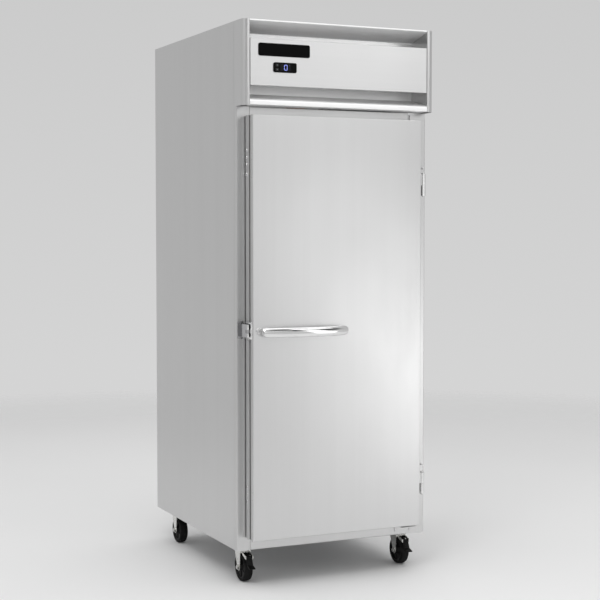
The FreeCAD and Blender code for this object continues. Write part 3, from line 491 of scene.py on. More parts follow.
@dataclass(frozen=True)
class Copper:
    """Drawn copper tube with dull patches."""

    def make(self, name: str) -> Material:
        """Builds the material.

        Args:
            name: Its name.

        Returns:
            The material.
        """
        g = Graph(name)
        patches = g.noise((40.0, 40.0, 40.0), 4.0, 0.6).band(0.4, 0.75)
        colour = g.blend(patches, (0.78, 0.40, 0.25), (0.42, 0.20, 0.12))
        return g.surface(Base_Color=colour, Metallic=1.0, Roughness=patches * 0.25 + 0.20)


@dataclass(frozen=True)
class Foam:
    """Closed-cell foam, cut or moulded."""

    def make(self, name: str) -> Material:
        """Builds the material.

        Args:
            name: Its name.

        Returns:
            The material.
        """
        g = Graph(name)
        pores = g.cells(900.0)
        cloud = g.noise((12.0, 12.0, 12.0), 3.0, 0.5)
        colour = g.blend(cloud, (0.74, 0.66, 0.42), (0.86, 0.79, 0.56))
        return g.surface(Base_Color=colour, Roughness=0.85, Normal=g.bump(pores, 0.0002))


@dataclass(frozen=True)
class DarkWindow:
    """Smoked window in front of the digits."""

    colour: Colour = (0.002, 0.002, 0.004)

    def make(self, name: str) -> Material:
        """Builds the material.

        Args:
            name: Its name.

        Returns:
            The material.
        """
        g = Graph(name)
        smear = g.noise((60.0, 60.0, 60.0), 3.0, 0.5).band(0.4, 0.8)
        return g.surface(Base_Color=g.blend(smear, self.colour, (0.005, 0.005, 0.008)),
                         Roughness=smear * 0.10 + 0.14, Specular_IOR_Level=0.12)


@dataclass(frozen=True)
class Glow:
    """Lit segments, and printed marks given a faint painted glow."""

    colour: Colour = (0.30, 0.36, 1.0)
    strength: float = 1.1

    def make(self, name: str) -> Material:
        """Builds the material.

        Args:
            name: Its name.

        Returns:
            The material.
        """
        g = Graph(name)
        uneven = g.noise((300.0, 300.0, 300.0), 2.0, 0.5)
        shade = tuple(c * 0.82 for c in self.colour)
        lit = g.blend(uneven, shade, self.colour)
        return g.surface(Base_Color=lit, Emission_Color=lit, Emission_Strength=self.strength, Roughness=0.4)


Finish = Union[BrushedSteel, Galvanised, Plated, Painted, Moulded, Rubber, BareAluminium, CoilFins, Copper, Foam,
               DarkWindow, Glow]


class Palette:
    """Every material, made once and shared by its name."""

    BEND = 18.8 * MM
    SLOTS: dict[str, Finish] = {
        "stainless": BrushedSteel(),
        "door_stainless": BrushedSteel(tone=0.66, roughness=0.31, smudges=0.05),
        "galvanized": Galvanised(),
        "liner": BareAluminium(),
        "foam": Foam(),
        "grey_plastic": Moulded(grey(0.24), 0.48),
        "gasket_rubber": Rubber(grey(0.11), roughness=0.5),
        "chrome": Plated(),
        "zinc": Plated((0.72, 0.72, 0.70), 0.20, 0.14),
        "screw_steel": Plated((0.76, 0.76, 0.76), 0.14),
        "shelf_coating": Painted(grey(0.66, 0.01), 0.30, 0.10),
        "clip_steel": BrushedSteel(tone=0.58, roughness=0.26),
        "black_paint": Painted(),
        "coil_aluminium": BareAluminium(0.66, 0.36),
        "fan_aluminium": BareAluminium(0.62, 0.30, Grain.ACROSS),
        "copper": Copper(),
        "nameplate_black": Moulded(grey(0.0022), 0.30, 0.000004, 0.04),
        "controller_black": Moulded(grey(0.0030), 0.38, 0.00001, 0.05),
        "display_window": DarkWindow(),
        "key_grey": Moulded(grey(0.022), 0.55, 0.00002, 0.15),
        "wheel_rubber": Rubber(grey(0.0045), 0.03, 0.62, 0.14),
        "pedal_black": Moulded(grey(0.005), 0.45, 0.00004, 0.15),
    }
    EXTRAS: dict[str, Finish] = {
        "header_steel": BrushedSteel(tone=0.70, roughness=0.34, grain=Grain.ACROSS, streaks=0.03, smudges=0.03),
        # The sill and hood finishes are paler, less metallic copies of stainless: painted light standing in for the
        # light that doesn't reach the recess under the header.
        "sill_steel_painted_light": BrushedSteel(tone=0.92, roughness=0.30, grain=Grain.ACROSS, streaks=0.04, smudges=0.04,
                                   metal=0.6),
        "hood_steel_painted_light": BrushedSteel(tone=0.90, roughness=0.42, grain=Grain.ACROSS, smudges=0.03, metal=0.35),
        "strike_chrome": Plated((0.46, 0.46, 0.47), 0.12, 0.10),
        "wheel_core": Moulded(grey(0.009), 0.42, 0.00003, 0.2),
        "mount_rubber": Rubber(grey(0.02)),
        "digit_light": Glow(),
        # Faint grey emission: painted glow on the printed key marks, also used on the run lamp's lens.
        "faint_glow_grey": Glow((0.20, 0.21, 0.24), 0.05),
    }

    def __init__(self) -> None:
        """Starts with no material made."""
        self.made: dict[str, Material] = {}

    def get(self, name: str) -> Material:
        """The material of a record slot or of an extra finish.

        Args:
            name: Slot or finish name.

        Returns:
            The shared material.
        """
        if name not in self.made:
            finish = self.SLOTS.get(name) or self.EXTRAS[name]
            self.made[name] = finish.make(name)
        return self.made[name]

    def coil(self, node: str) -> Material:
        """The two-metal finish of a coil node, split where its fins end."""
        low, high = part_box(node)
        return CoilFins(low.x + self.BEND, high.x - self.BEND).make(node + "_fins")


# ---- modelling bench --------------------------------------------------------------------
class Axis(Enum):
    """Direction a turned piece points in, as the rotation that takes +Z there."""

    UP = Matrix.Identity(4)
    DOWN = Matrix.Rotation(math.pi, 4, "X")
    LEFT = Matrix.Rotation(-math.pi / 2, 4, "Y")
    RIGHT = Matrix.Rotation(math.pi / 2, 4, "Y")
    FRONT = Matrix.Rotation(math.pi / 2, 4, "X")
    BACK = Matrix.Rotation(-math.pi / 2, 4, "X")


@dataclass
class Bench:
    """Starts pieces from primitives, shapes them in edit mode, places and finishes them."""

    MERGE = 0.000002
    SMOOTH = math.radians(38.0)

    palette: Palette

    def sweep(self, name: str, half: Pair, profile: Sequence[Pair],
              sides: int = 4, solid: bool = True) -> Piece:
        """Draws a round, polygonal or rectangular shape by extruding its outline ring by ring.

        Args:
            name: Name of the piece.
            half: Half width and half height of the outline in millimetres.
            profile: Distance outwards from the outline and height of each ring, in millimetres.
            sides: Corners of the outline, with 4 for a rectangle.
            solid: False for a ring whose last profile point meets its first.

        Returns:
            The piece, drawn about the origin along +Z.
        """
        rings = [(half[0] + out, half[1] + out, 0.0, level) for out, level in profile]
        return self.drawn(name, rings, sides, solid)

    def drawn(self, name: str, rings: Sequence[tuple[float, float, float, float]], sides: int = 32,
              solid: bool = True) -> Piece:
        """Draws a shape along a line that may bow, by extruding and resizing its outline.

        Args:
            name: Name of the piece.
            rings: Half width, half depth, sideways shift and height of each ring, in millimetres.
            sides: Corners of the outline, with 4 for a rectangle.
            solid: False for a ring whose last outline meets its first.

        Returns:
            The piece, drawn about the origin along +Z.
        """
        bpy.ops.object.select_all(action="DESELECT")
        if sides == 4:
            bpy.ops.mesh.primitive_plane_add(size=2.0)
        else:
            bpy.ops.mesh.primitive_circle_add(vertices=sides, radius=1.0, fill_type="NGON")
        piece = bpy.context.object
        piece.name = name
        bpy.ops.object.mode_set(mode="EDIT")
        bpy.ops.mesh.select_mode(type="EDGE" if not solid else "FACE")
        bpy.ops.mesh.select_all(action="SELECT")
        if not solid:
            bpy.ops.mesh.delete(type="ONLY_FACE")
            bpy.ops.mesh.select_all(action="SELECT")
        now, centre = (1.0, 1.0), (0.0, 0.0)
        for step, (wide, deep, shift, level) in enumerate(rings):
            move = (0.0, (shift - centre[0]) * MM, (level - centre[1]) * MM)
            if step:
                bpy.ops.mesh.extrude_region_move(TRANSFORM_OT_translate={"value": move})
            else:
                bpy.ops.transform.translate(value=move)
            wanted = (wide * MM, deep * MM)
            bpy.ops.transform.resize(value=(wanted[0] / now[0], wanted[1] / now[1], 1.0),
                                     center_override=(0.0, shift * MM, level * MM))
            now, centre = wanted, (shift, level)
        bpy.ops.mesh.select_all(action="SELECT")
        bpy.ops.mesh.remove_doubles(threshold=self.MERGE)
        bpy.ops.mesh.normals_make_consistent(inside=False)
        bpy.ops.object.mode_set(mode="OBJECT")
        return piece

    def pick(self, *pieces: Piece) -> None:
        """Selects only these pieces.

        Args:
            *pieces: The pieces, of which the first becomes active.
        """
        bpy.ops.object.select_all(action="DESELECT")
        for piece in pieces:
            piece.select_set(True)
        bpy.context.view_layer.objects.active = pieces[0]

    def place(self, piece: Piece, at: Point, axis: Axis = Axis.UP, spin: float = 0.0) -> Piece:
        """Turns a piece to its axis, moves it there and puts that into its mesh.

        Args:
            piece: A piece drawn about the origin.
            at: Its place in millimetres.
            axis: The direction its height takes.
            spin: Degrees it is turned about its own height first.

        Returns:
            The same piece.
        """
        self.pick(piece)
        where = Matrix.Translation(Vector(at) * MM)
        piece.matrix_world = where @ axis.value @ Matrix.Rotation(math.radians(spin), 4, "Z")
        bpy.ops.object.transform_apply(location=True, rotation=True, scale=True)
        return piece

    def copies(self, name: str, master: Piece, places: Sequence[Point],
               axis: Axis) -> Piece:
        """Sets copies of one piece at several places and joins them.

        Args:
            name: Name of the joined piece.
            master: The piece to copy, which takes the first place itself.
            places: Places in millimetres.
            axis: The direction every copy's height takes.

        Returns:
            The joined piece.
        """
        made = [master]
        for _ in places[1:]:
            twin = master.copy()
            twin.data = master.data.copy()
            bpy.context.scene.collection.objects.link(twin)
            made.append(twin)
        for piece, at in zip(made, places):
            self.place(piece, at, axis)
        return self.join(name, made)

    def join(self, name: str, pieces: Sequence[Piece]) -> Piece:
        """Joins pieces into the first one.

        Args:
            name: Name of the joined piece.
            pieces: The pieces, already placed.

        Returns:
            The joined piece.
        """
        self.pick(*pieces)
        if len(pieces) > 1:
            bpy.ops.object.join()
        pieces[0].name = name
        return pieces[0]

    def finish(self, piece: Piece, body: str, slot: str, finish: Optional[str] = None,
               nodes: Sequence[str] = ()) -> None:
        """Dresses a piece, smooths it and ties it to its body.

        Args:
            piece: The placed piece.
            body: The CAD body it rides on.
            slot: The record's material slot.
            finish: Another finish of the palette, where the slot's own isn't used.
            nodes: CAD nodes that the piece stands for.
        """
        piece.data.materials.clear()
        piece.data.materials.append(self.palette.get(finish or slot))
        self.pick(piece)
        bpy.ops.object.shade_smooth_by_angle(angle=self.SMOOTH)
        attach(piece, body)
        if nodes:
            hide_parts(*nodes)
        LOG.info("made %s, %d faces, on %s", piece.name, len(piece.data.polygons), body)

    def pan_head(self, name: str, radius: float, height: float) -> Piece:
        """A domed screw head with a round driver recess.

        Args:
            name: Name of the piece.
            radius: Head radius in millimetres.
            height: Head height in millimetres.

        Returns:
            The screw head.
        """
        profile = [(0.0, 0.02), (0.0, 0.35 * height), (-0.07 * radius, 0.68 * height),
                   (-0.25 * radius, 0.92 * height), (-0.52 * radius, height), (-0.62 * radius, 0.50 * height),
                   (-0.78 * radius, 0.35 * height)]
        return self.sweep(name, (radius, radius), profile, sides=18)

    def hex_head(self, name: str, radius: float, height: float) -> Piece:
        """A hexagon head with its corners chamfered.

        Args:
            name: Name of the piece.
            radius: Radius to the corners in millimetres.
            height: Head height in millimetres.

        Returns:
            The head.
        """
        chamfer = 0.09 * radius
        profile = [(0.0, 0.02), (0.0, height - chamfer), (-1.7 * chamfer, height), (-0.45 * radius, height),
                   (-0.50 * radius, height - 0.4)]
        return self.sweep(name, (radius, radius), profile, sides=6)


# ---- sub-assemblies ---------------------------------------------------------------------
def corners(middle: Pair, half: Pair) -> list[Pair]:
    """The four corners of a rectangle."""
    return [(middle[0] + a * half[0], middle[1] + b * half[1]) for a in (-1, 1) for b in (-1, 1)]


@dataclass
class DoorTrim(Bench):
    """What is fixed to the door: the seal, the handle, the lock's ring and keyway and the hinge screws."""

    middle: Pair = (-12.0, 906.5)
    seal_half: Pair = (321.0, 726.5)
    seal_back: float = -377.0
    face: float = -442.0
    lock: Pair = (-320.0, 901.0)
    hinge_levels: Pair = (319.0, 1411.0)
    leaf_face: float = 321.0
    handle_x: Pair = (-309.0, 13.0)
    handle_z: float = 896.0
    handle_front: float = -487.0
    handle_bow: float = 21.0
    handle_half: Pair = (17.0, 6.5)
    foot_inset: float = 20.0
    screw: Pair = (3.6, 1.6)
    screw_rises: Pair = (16.0, 62.0)
    door_screw_y: Pair = (-424.0, -394.0)
    frame_screw: Pair = (363.0, -375.0)

    def build(self) -> None:
        """Makes every piece."""
        self.gasket()
        self.handle()
        self.escutcheon()
        self.keyway()
        self.hinge_screws()

    def gasket(self) -> None:
        """Bellows seal with mitred corners: base strip, two folds, magnet face and inner wiper."""
        section = [(-21.5, 0.1), (-0.5, 0.1), (-0.2, 1.0), (-2.2, 1.7), (-2.4, 2.3), (0.0, 3.0), (-0.2, 4.6),
                   (-1.6, 5.5), (-12.5, 5.5), (-13.6, 4.7), (-14.2, 3.4), (-17.0, 2.6), (-20.8, 3.4),
                   (-22.0, 2.2), (-21.5, 0.1)]
        ring = self.sweep("door_seal", self.seal_half, section, solid=False)
        self.place(ring, (self.middle[0], self.seal_back, self.middle[1]), Axis.BACK)
        self.finish(ring, "door", "gasket_rubber", nodes=["door_gasket"])

    def handle(self) -> None:
        """Bowed oval bar that deepens and rounds off towards its ends, on two flared feet."""
        x0, x1 = self.handle_x
        middle, reach = (x0 + x1) / 2, (x1 - x0) / 2
        ends = [(1.0, 0.52, 0.65), (0.985, 0.76, 1.05), (0.95, 0.92, 1.30), (0.88, 0.98, 1.22), (0.75, 1.0, 1.05)]
        run = [(-u, tall, deep) for u, tall, deep in ends]
        run += [(u / 8, 1.0, 1.0) for u in range(-5, 6)]
        run += ends[::-1]
        rings = []
        for u, tall, deep in run:
            high, thick = self.handle_half[0] * tall, self.handle_half[1] * deep
            rings.append((high, thick, self.handle_front + self.handle_bow * u * u + thick, u * reach))
        bar = self.drawn("handle_bar", rings, sides=40)
        parts = [self.place(bar, (middle, 0.0, self.handle_z), Axis.RIGHT)]
        for n, x in enumerate((x0 + self.foot_inset, x1 - self.foot_inset)):
            foot = self.sweep(f"foot_{n}", (14.5, 13.0), [(3.0, 0.05), (1.4, 1.2), (0.3, 4.0), (0.0, 23.0)],
                                    sides=36)
            parts.append(self.place(foot, (x, self.face, self.handle_z), Axis.FRONT))
        whole = self.join("pull_handle", parts)
        self.finish(whole, "door", "chrome", nodes=["door_handle"])

    def escutcheon(self) -> None:
        """Turned ring round the lock cylinder."""
        section = [(0.0, 0.05), (3.4, 0.05), (3.4, 0.5), (2.5, 1.5), (0.5, 1.5), (0.0, 1.1), (0.0, 0.05)]
        ring = self.sweep("lock_ring", (7.7, 7.7), section, sides=44, solid=False)
        self.place(ring, (self.lock[0], self.face, self.lock[1]), Axis.FRONT)
        self.finish(ring, "door", "chrome")

    def keyway(self) -> None:
        """Upright key slot in the cylinder's face."""
        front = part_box("lock_cylinder")[0].y / MM
        slot = self.sweep("lock_keyway", (0.55, 2.5), [(0.0, -0.3), (0.0, 0.05), (-0.15, 0.08)])
        self.place(slot, (self.lock[0], front, self.lock[1]), Axis.FRONT)
        self.finish(slot, "lock", "controller_black")

    def hinge_screws(self) -> None:
        """Pan heads on both leaves of each hinge."""
        levels = [z + rise for z in self.hinge_levels for rise in self.screw_rises]
        on_door = [(self.leaf_face, y, z) for z in levels for y in self.door_screw_y]
        on_frame = [(*self.frame_screw, z) for z in levels]
        for name, body, places, axis in (("door_leaf_screws", "door", on_door, Axis.RIGHT),
                                         ("frame_leaf_screws", "cabinet", on_frame, Axis.FRONT)):
            heads = self.copies(name, self.pan_head("head", *self.screw), places, axis)
            self.finish(heads, body, "screw_steel")


@dataclass
class LatchTrim(Bench):
    """Rolled front edges of the latch housing and its strike, parted where the bolt passes."""

    levels: tuple[Pair, ...] = ((874.5, 894.5), (907.5, 930.5))
    housing: Pair = (-345.5, -436.2)
    housing_half: Pair = (4.3, 5.0)
    strike: Pair = (-359.0, -439.8)
    strike_half: Pair = (3.2, 3.2)

    def build(self) -> None:
        """Makes both pairs of rolls."""
        self.rolls("latch_rolls", "door", self.housing, self.housing_half, 0.0)
        self.rolls("strike_rolls", "cabinet", self.strike, self.strike_half, 6.0)

    def rolls(self, name: str, body: str, at: Pair, half: Pair, short: float) -> None:
        """One roll above the bolt and one below it.

        Args:
            name: Name of the joined piece.
            body: The CAD body they ride on.
            at: X and Y of their middle in millimetres.
            half: Half width and half depth in millimetres.
            short: How much shorter they are at their far ends.
        """
        parts = []
        for n, (low, high) in enumerate(self.levels):
            low, high = (low + short, high) if n == 0 else (low, high - short)
            tall = high - low
            profile = [(-1.2, 0.0), (-0.3, 0.4), (0.0, 1.3), (0.0, tall - 1.3), (-0.3, tall - 0.4), (-1.2, tall)]
            roll = self.sweep(f"roll_{n}", half, profile, sides=28)
            parts.append(self.place(roll, (*at, low), Axis.UP))
        self.finish(self.join(name, parts), body, "chrome")


@dataclass
class Controls(Bench):
    """The lit figure, the marks on the two keys and the run lamp."""

    digit_x: Pair = (-219.5, -209.0)
    digit_z: Pair = (1796.5, 1813.5)
    window_front: float = -434.8
    key_front: float = -435.6
    key_x: float = -246.5
    key_z: Pair = (1812.5, 1797.5)
    lamp_at: Pair = (-199.5, 1812.5)
    stroke: float = 0.7

    def build(self) -> None:
        """Makes every piece."""
        self.digit()
        self.key_marks()
        self.lamp()

    def bar(self, name: str, half: Pair) -> Piece:
        """One segment with chamfered edges, 0.2 mm proud of the window."""
        return self.sweep(name, half, [(0.0, -0.2), (0.0, 0.1), (-0.25, 0.2)])

    def digit(self) -> None:
        """Six of the seven segments, which read as a nought."""
        x0, x1 = self.digit_x
        z0, z1 = self.digit_z
        level, gap = (z0 + z1) / 2, 0.5
        upright = (z1 - z0) / 4 - self.stroke / 2 - gap / 2
        across = (x1 - x0) / 2 - self.stroke - gap
        made = []
        for n, (x, z) in enumerate((x, z) for x in (x0, x1) for z in ((z0 + level) / 2, (z1 + level) / 2)):
            piece = self.bar(f"upright_{n}", (self.stroke, upright))
            made.append(self.place(piece, (x, self.window_front, z), Axis.FRONT))
        for n, z in enumerate((z0, z1)):
            piece = self.bar(f"across_{n}", (across, self.stroke))
            made.append(self.place(piece, ((x0 + x1) / 2, self.window_front, z), Axis.FRONT))
        digit = self.join("display_digit", made)
        self.finish(digit, "cabinet", "display_window", "digit_light")

    def key_marks(self) -> None:
        """A small pointer on each key."""
        for name, z, spin in zip(("key_up", "key_down"), self.key_z, (90.0, -90.0)):
            mark = self.sweep(name + "_mark", (2.2, 2.2), [(0.0, -0.1), (0.0, 0.1), (-0.3, 0.15)], sides=3)
            self.place(mark, (self.key_x, self.key_front, z), Axis.FRONT, spin)
            # The printed pointer takes a faint emission: painted glow on print.
            self.finish(mark, name, "key_grey", "faint_glow_grey")

    def lamp(self) -> None:
        """Domed run lamp at the window's corner."""
        lens = self.sweep("run_lamp", (0.9, 0.9), [(0.0, -0.2), (0.0, 0.1), (-0.3, 0.3), (-0.7, 0.4)], sides=16)
        self.place(lens, (self.lamp_at[0], self.window_front, self.lamp_at[1]), Axis.FRONT)
        # The lens shares the faint grey emission of the key marks.
        self.finish(lens, "cabinet", "display_window", "faint_glow_grey")


@dataclass
class Casters(Bench):
    """Tyres, wheel cores, ribs and plate bolts of the four casters."""

    across: float = 315.0
    axle_y: Pair = (-291.0, 377.0)
    swivel_y: Pair = (-276.0, 392.0)
    axle_z: float = 50.5
    plate_under: float = 124.0
    rib_count: int = 6
    rib_middle: float = 25.5
    bolt: Pair = (7.0, 5.2)
    bolt_half: Pair = (27.0, 37.0)

    def build(self) -> None:
        """Makes every wheel and the bolts of every plate."""
        for depth, axle_y, swivel_y in zip(("front", "rear"), self.axle_y, self.swivel_y):
            for side, x in (("left", -self.across), ("right", self.across)):
                self.wheel(f"{depth}_{side}", (x, axle_y, self.axle_z))
                self.plate_bolts(f"{depth}_{side}", (x, swivel_y))

    def wheel(self, corner: str, at: Point) -> None:
        """Tyre with rounded shoulders on a ribbed core.

        Args:
            corner: Which caster.
            at: Middle of the axle in millimetres.
        """
        side = [(0.0, 13.0), (1.4, 15.1), (4.4, 16.0), (6.6, 15.6), (8.7, 14.0), (9.9, 11.0), (10.35, 7.0)]
        section = [(out, -z) for out, z in side] + [(10.5, 0.0)] + side[::-1] + [(0.0, -13.0)]
        tyre = self.sweep("tyre_" + corner, (40.0, 40.0), section, sides=72, solid=False)
        self.place(tyre, at, Axis.RIGHT)
        self.finish(tyre, "wheel_" + corner, "wheel_rubber", nodes=["caster_wheel_" + corner])
        half = [(34.0, 12.4), (32.3, 13.6), (30.6, 12.8), (29.2, 9.4), (12.4, 8.8), (9.2, 10.4), (7.6, 16.4),
                (6.6, 17.1), (0.3, 17.1)]
        section = [(out, -z) for out, z in half] + [(out, z) for out, z in half[::-1]] + [(34.0, -12.4)]
        core = self.sweep("core_blank", (6.0, 6.0), section, sides=48, solid=False)
        parts = [self.place(core, at, Axis.RIGHT)]
        for hand in (Axis.RIGHT, Axis.LEFT):
            for n in range(self.rib_count):
                parts.append(self.rib(at, hand, 360.0 * n / self.rib_count))
        whole = self.join("wheel_core_" + corner, parts)
        self.finish(whole, "wheel_" + corner, "wheel_rubber", "wheel_core")

    def rib(self, at: Point, hand: Axis, turn: float) -> Piece:
        """One radial rib on a face of the core.

        Args:
            at: Middle of the axle in millimetres.
            hand: The side of the wheel.
            turn: Its angle in degrees.

        Returns:
            The rib.
        """
        rib = self.sweep("rib", (10.0, 1.3), [(0.0, 8.6), (0.0, 11.4), (-0.5, 12.0)])
        rib.data.transform(Matrix.Translation((self.rib_middle * MM, 0.0, 0.0)))
        return self.place(rib, at, hand, turn)

    def plate_bolts(self, corner: str, swivel: Pair) -> None:
        """Hexagon heads under one mounting plate.

        Args:
            corner: Which caster.
            swivel: Middle of the swivel axis in millimetres.
        """
        places = [(*at, self.plate_under) for at in corners(swivel, self.bolt_half)]
        heads = self.copies("plate_bolts_" + corner, self.hex_head("bolt", *self.bolt), places, Axis.DOWN)
        self.finish(heads, "cabinet", "zinc")


@dataclass
class ColdSide(Bench):
    """Wire guard of the evaporator fan and the screws of its cover."""

    fan: Pair = (-12.0, 1530.0)
    cover_front: float = 10.0
    cover_x: Pair = (-291.0, 267.0)
    cover_z: Pair = (1448.0, 1612.4)
    guard_radii: tuple[float, ...] = (16.0, 28.0, 40.0, 52.0, 64.0, 78.0)
    wire: float = 1.1
    ring_stand: float = 6.6
    spoke_stand: float = 4.6
    screw: Pair = (3.8, 1.8)
    screw_inset: Pair = (14.0, 12.0)

    def build(self) -> None:
        """Makes every piece."""
        self.guard()
        self.cover_screws()

    def guard(self) -> None:
        """Rings on three straight wires, with a hub disc and stand-off studs."""
        x, z = self.fan
        parts = []
        loop = [(self.wire * math.cos(a * math.pi / 4), self.wire * math.sin(a * math.pi / 4)) for a in range(9)]
        for n, radius in enumerate(self.guard_radii):
            ring = self.sweep(f"ring_{n}", (radius, radius), loop, sides=56, solid=False)
            parts.append(self.place(ring, (x, self.cover_front - self.ring_stand, z), Axis.FRONT))
        reach = self.guard_radii[-1] + 3.0
        for n in range(3):
            spoke = self.sweep(f"spoke_{n}", (self.wire, self.wire),
                                     [(-0.5, -reach), (0.0, -reach + 0.5), (0.0, reach - 0.5), (-0.5, reach)], sides=10)
            spoke.data.transform(Axis.RIGHT.value)
            at = (x, self.cover_front - self.spoke_stand, z)
            parts.append(self.place(spoke, at, Axis.FRONT, 30.0 + 60.0 * n))
        for n in range(6):
            angle = math.radians(30.0 + 60.0 * n)
            at = (x + reach * 0.985 * math.cos(angle), self.cover_front, z + reach * 0.985 * math.sin(angle))
            profile = [(0.0, 0.02), (0.0, 4.6), (-0.6, 5.6), (-1.6, 6.2)]
            stud = self.sweep(f"stud_{n}", (2.6, 2.6), profile, sides=14)
            parts.append(self.place(stud, at, Axis.FRONT))
        disc = self.sweep("hub_disc", (9.0, 9.0), [(0.0, 5.6), (0.0, 6.6), (-1.2, 7.4), (-6.0, 7.9)], sides=32)
        parts.append(self.place(disc, (x, self.cover_front, z), Axis.FRONT))
        guard = self.join("cold_fan_guard", parts)
        self.finish(guard, "cabinet", "chrome")

    def cover_screws(self) -> None:
        """Pan heads along the cover's front."""
        (x0, x1), (z0, z1), middle = self.cover_x, self.cover_z, self.fan[0]
        side, end = self.screw_inset
        places = [(x, self.cover_front, z) for x in (x0 + side, (x0 + middle) / 2, (x1 + middle) / 2, x1 - side)
                  for z in (z0 + end, z1 - end)]
        heads = self.copies("cover_screws", self.pan_head("head", *self.screw), places, Axis.FRONT)
        self.finish(heads, "cabinet", "screw_steel")


@dataclass
class MachineBay(Bench):
    """Rubber mounts and foot nuts of the compressor."""

    compressor: Pair = (-170.0, 250.0)
    foot_half: Pair = (74.0, 48.0)
    deck: float = 1673.0
    foot_top: float = 1697.0
    nut: Pair = (7.4, 6.0)

    def build(self) -> None:
        """Makes every piece."""
        feet = corners(self.compressor, self.foot_half)
        section = [(0.0, 0.1), (3.6, 0.1), (3.6, 4.5), (1.6, 7.0), (1.6, 10.0), (3.4, 12.5), (3.4, 16.6), (0.0, 16.6),
                   (0.0, 0.1)]
        mount = self.sweep("mount", (12.1, 12.1), section, sides=32, solid=False)
        mounts = self.copies("compressor_mounts", mount, [(*foot, self.deck) for foot in feet], Axis.UP)
        self.finish(mounts, "cabinet", "black_paint", "mount_rubber")
        nuts = self.copies("compressor_foot_nuts", self.hex_head("nut", *self.nut),
                                 [(*foot, self.foot_top) for foot in feet], Axis.UP)
        self.finish(nuts, "cabinet", "zinc")


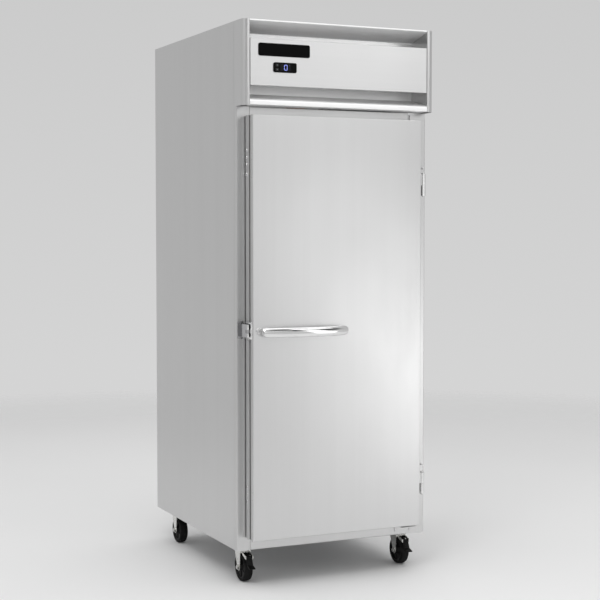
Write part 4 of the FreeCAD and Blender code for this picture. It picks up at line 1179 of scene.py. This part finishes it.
# ---- studio -----------------------------------------------------------------------------
@dataclass
class Studio:
    """Camera, floor, soft boxes and the pale room round them."""

    eye: Point = (-2.1677, -4.7943, 1.2567)
    pitch: float = 86.997
    yaw: float = -24.721
    lens: float = 82.84
    floor_radius: float = 5.6
    floor_fade: Pair = (0.72, 0.99)
    horizon: Pair = (-0.10, 0.16)
    room: Pair = (0.66, 0.60)
    flags: tuple[tuple[Point, float, float, float], ...] = (
        ((-0.45, -0.85, 0.15), 0.90, 0.985, 0.72),
        ((0.12, -0.95, 0.29), 0.965, 0.990, 0.06),
        ((0.62, -0.72, 0.24), 0.975, 0.993, 0.15),
    )

    def build(self) -> None:
        """Makes everything that isn't the object."""
        self.camera()
        self.floor()
        self.surroundings()
        self.lights()

    def camera(self) -> None:
        """Camera at the customer's left, a little above half height."""
        data = bpy.data.cameras.new("view")
        data.lens = self.lens
        data.sensor_width = 36.0
        view = bpy.data.objects.new("view", data)
        view.location = self.eye
        view.rotation_euler = (math.radians(self.pitch), 0.0, math.radians(self.yaw))
        bpy.context.scene.collection.objects.link(view)
        bpy.context.scene.camera = view

    def floor(self) -> None:
        """Pale round floor that fades out into the room."""
        bpy.ops.object.select_all(action="DESELECT")
        bpy.ops.mesh.primitive_circle_add(vertices=96, radius=self.floor_radius, fill_type="NGON")
        floor = bpy.context.object
        floor.name = "floor"
        g = Graph("floor")
        radius = g.node("ShaderNodeVectorMath", {"operation": "LENGTH"}, {0: g.place()}, output="Value")
        start, end = (self.floor_radius * share for share in self.floor_fade)
        fade = radius.band(start, end, 1.0, 0.0)
        tone = g.noise((0.6, 0.6, 0.6), 2.0)
        floor.data.materials.append(g.surface(
            Base_Color=g.blend(tone, grey(0.80), grey(0.84)), Roughness=0.62, Alpha=fade, Specular_IOR_Level=0.2))

    def surroundings(self) -> None:
        """Even pale surroundings, a little darker overhead, with dark flags for the bright metal."""
        world = bpy.data.worlds.new("room")
        bpy.context.scene.world = world
        world.use_nodes = True
        tree = world.node_tree

        def ramp(value: bpy.types.NodeSocket, ends: Sequence[float], style: str) -> bpy.types.NodeSocket:
            """Takes a value from one range to another.

            Args:
                value: The value.
                ends: Both ends of the old range, then of the new one.
                style: How it goes from end to end.

            Returns:
                The new value.
            """
            node = tree.nodes.new("ShaderNodeMapRange")
            node.interpolation_type = style
            tree.links.new(value, node.inputs["Value"])
            for name, end in zip(("From Min", "From Max", "To Min", "To Max"), ends):
                node.inputs[name].default_value = end
            return node.outputs[0]

        where = tree.nodes.new("ShaderNodeTexCoord")
        split = tree.nodes.new("ShaderNodeSeparateXYZ")
        tree.links.new(where.outputs["Generated"], split.inputs[0])
        strength = ramp(split.outputs[2], (*self.horizon, *self.room), "LINEAR")
        for side, start, end, level in self.flags:
            facing = tree.nodes.new("ShaderNodeVectorMath")
            facing.operation = "DOT_PRODUCT"
            tree.links.new(where.outputs["Generated"], facing.inputs[0])
            facing.inputs[1].default_value = Vector(side).normalized()
            shade = tree.nodes.new("ShaderNodeMath")
            shade.operation = "MULTIPLY"
            tree.links.new(strength, shade.inputs[0])
            patch = ramp(facing.outputs["Value"], (start, end, 1.0, level), "SMOOTHSTEP")
            tree.links.new(patch, shade.inputs[1])
            strength = shade.outputs[0]
        tree.links.new(strength, tree.nodes["Background"].inputs["Strength"])
        tree.nodes["Background"].inputs["Color"].default_value = (1.0, 1.0, 1.0, 1.0)

    def soft_box(self, name: str, at: Point, aim: Point, size: Pair, glow: float,
                 roll: float = 0.0) -> None:
        """Adds a rectangular light.

        Args:
            name: Name of the light.
            at: Where it stands.
            aim: The point it faces.
            size: Width and height in metres.
            glow: Brightness of its face, beside 1.0 for white.
            roll: Degrees it is turned about the line to its aim.
        """
        data = bpy.data.lights.new(name, "AREA")
        data.shape = "RECTANGLE"
        data.size, data.size_y = size
        data.energy = glow * math.pi * size[0] * size[1]
        light = bpy.data.objects.new(name, data)
        light.location = at
        facing = (Vector(aim) - Vector(at)).to_track_quat("-Z", "Y").to_matrix().to_4x4()
        light.rotation_euler = (facing @ Matrix.Rotation(math.radians(roll), 4, "Z")).to_euler()
        light.visible_camera = False
        bpy.context.scene.collection.objects.link(light)

    def lights(self) -> None:
        """Key from the upper left front, a wide panel overhead, and soft boxes for the front sheets."""
        self.soft_box("key", (-2.2, -2.6, 3.9), (0.0, 0.0, 0.6), (1.4, 1.4), 6.0)
        self.soft_box("overhead", (0.0, -0.5, 4.6), (0.0, -0.5, 0.0), (6.5, 6.5), 0.85)
        self.soft_box("door_box", (1.55, -3.0, 0.75), (0.1, -0.4, 0.8), (0.8, 1.9), 0.9, 26.0)
        self.soft_box("door_low", (2.1, -3.0, 0.38), (0.25, -0.44, 0.35), (0.8, 0.6), 1.1)
        self.soft_box("recess_fill", (-0.4, -3.0, 1.45), (0.0, -0.35, 1.93), (1.6, 0.5), 0.7)
        self.soft_box("header_box", (1.35, -3.0, 2.45), (0.0, -0.4, 1.8), (1.9, 0.75), 1.2)


# ---- dressing ---------------------------------------------------------------------------
@dataclass
class Dresser:
    """Gives the CAD nodes their finished materials."""

    palette: Palette

    SPECIAL = {
        "header_front_panel": "header_steel",
        # The hood and sill take the paler steels: painted light for the header recess.
        "header_hood": "hood_steel_painted_light",
        "header_sill": "sill_steel_painted_light",
        "latch_strike": "strike_chrome",
    }

    def dress(self) -> None:
        """Assigns a material to each CAD node."""
        for part in frame["record"]["subparts"]:
            node = part["node"]
            if node.endswith("_coil"):
                finish = self.palette.coil(node)
            else:
                finish = self.palette.get(self.SPECIAL.get(node, part["material_slot"]))
            for place in frame["nodes"][node].material_slots:
                place.material = finish
        LOG.info("dressed %d frame nodes", len(frame["nodes"]))


def main() -> None:
    """Builds the studio and every sub-assembly."""
    logging.basicConfig(level=logging.INFO)
    bpy.context.scene.view_settings.view_transform = "Standard"
    palette = Palette()
    Studio().build()
    Dresser(palette).dress()
    for assembly in (DoorTrim, LatchTrim, Controls, Casters, ColdSide, MachineBay):
        assembly(palette).build()


if __name__ == "__main__":
    main()
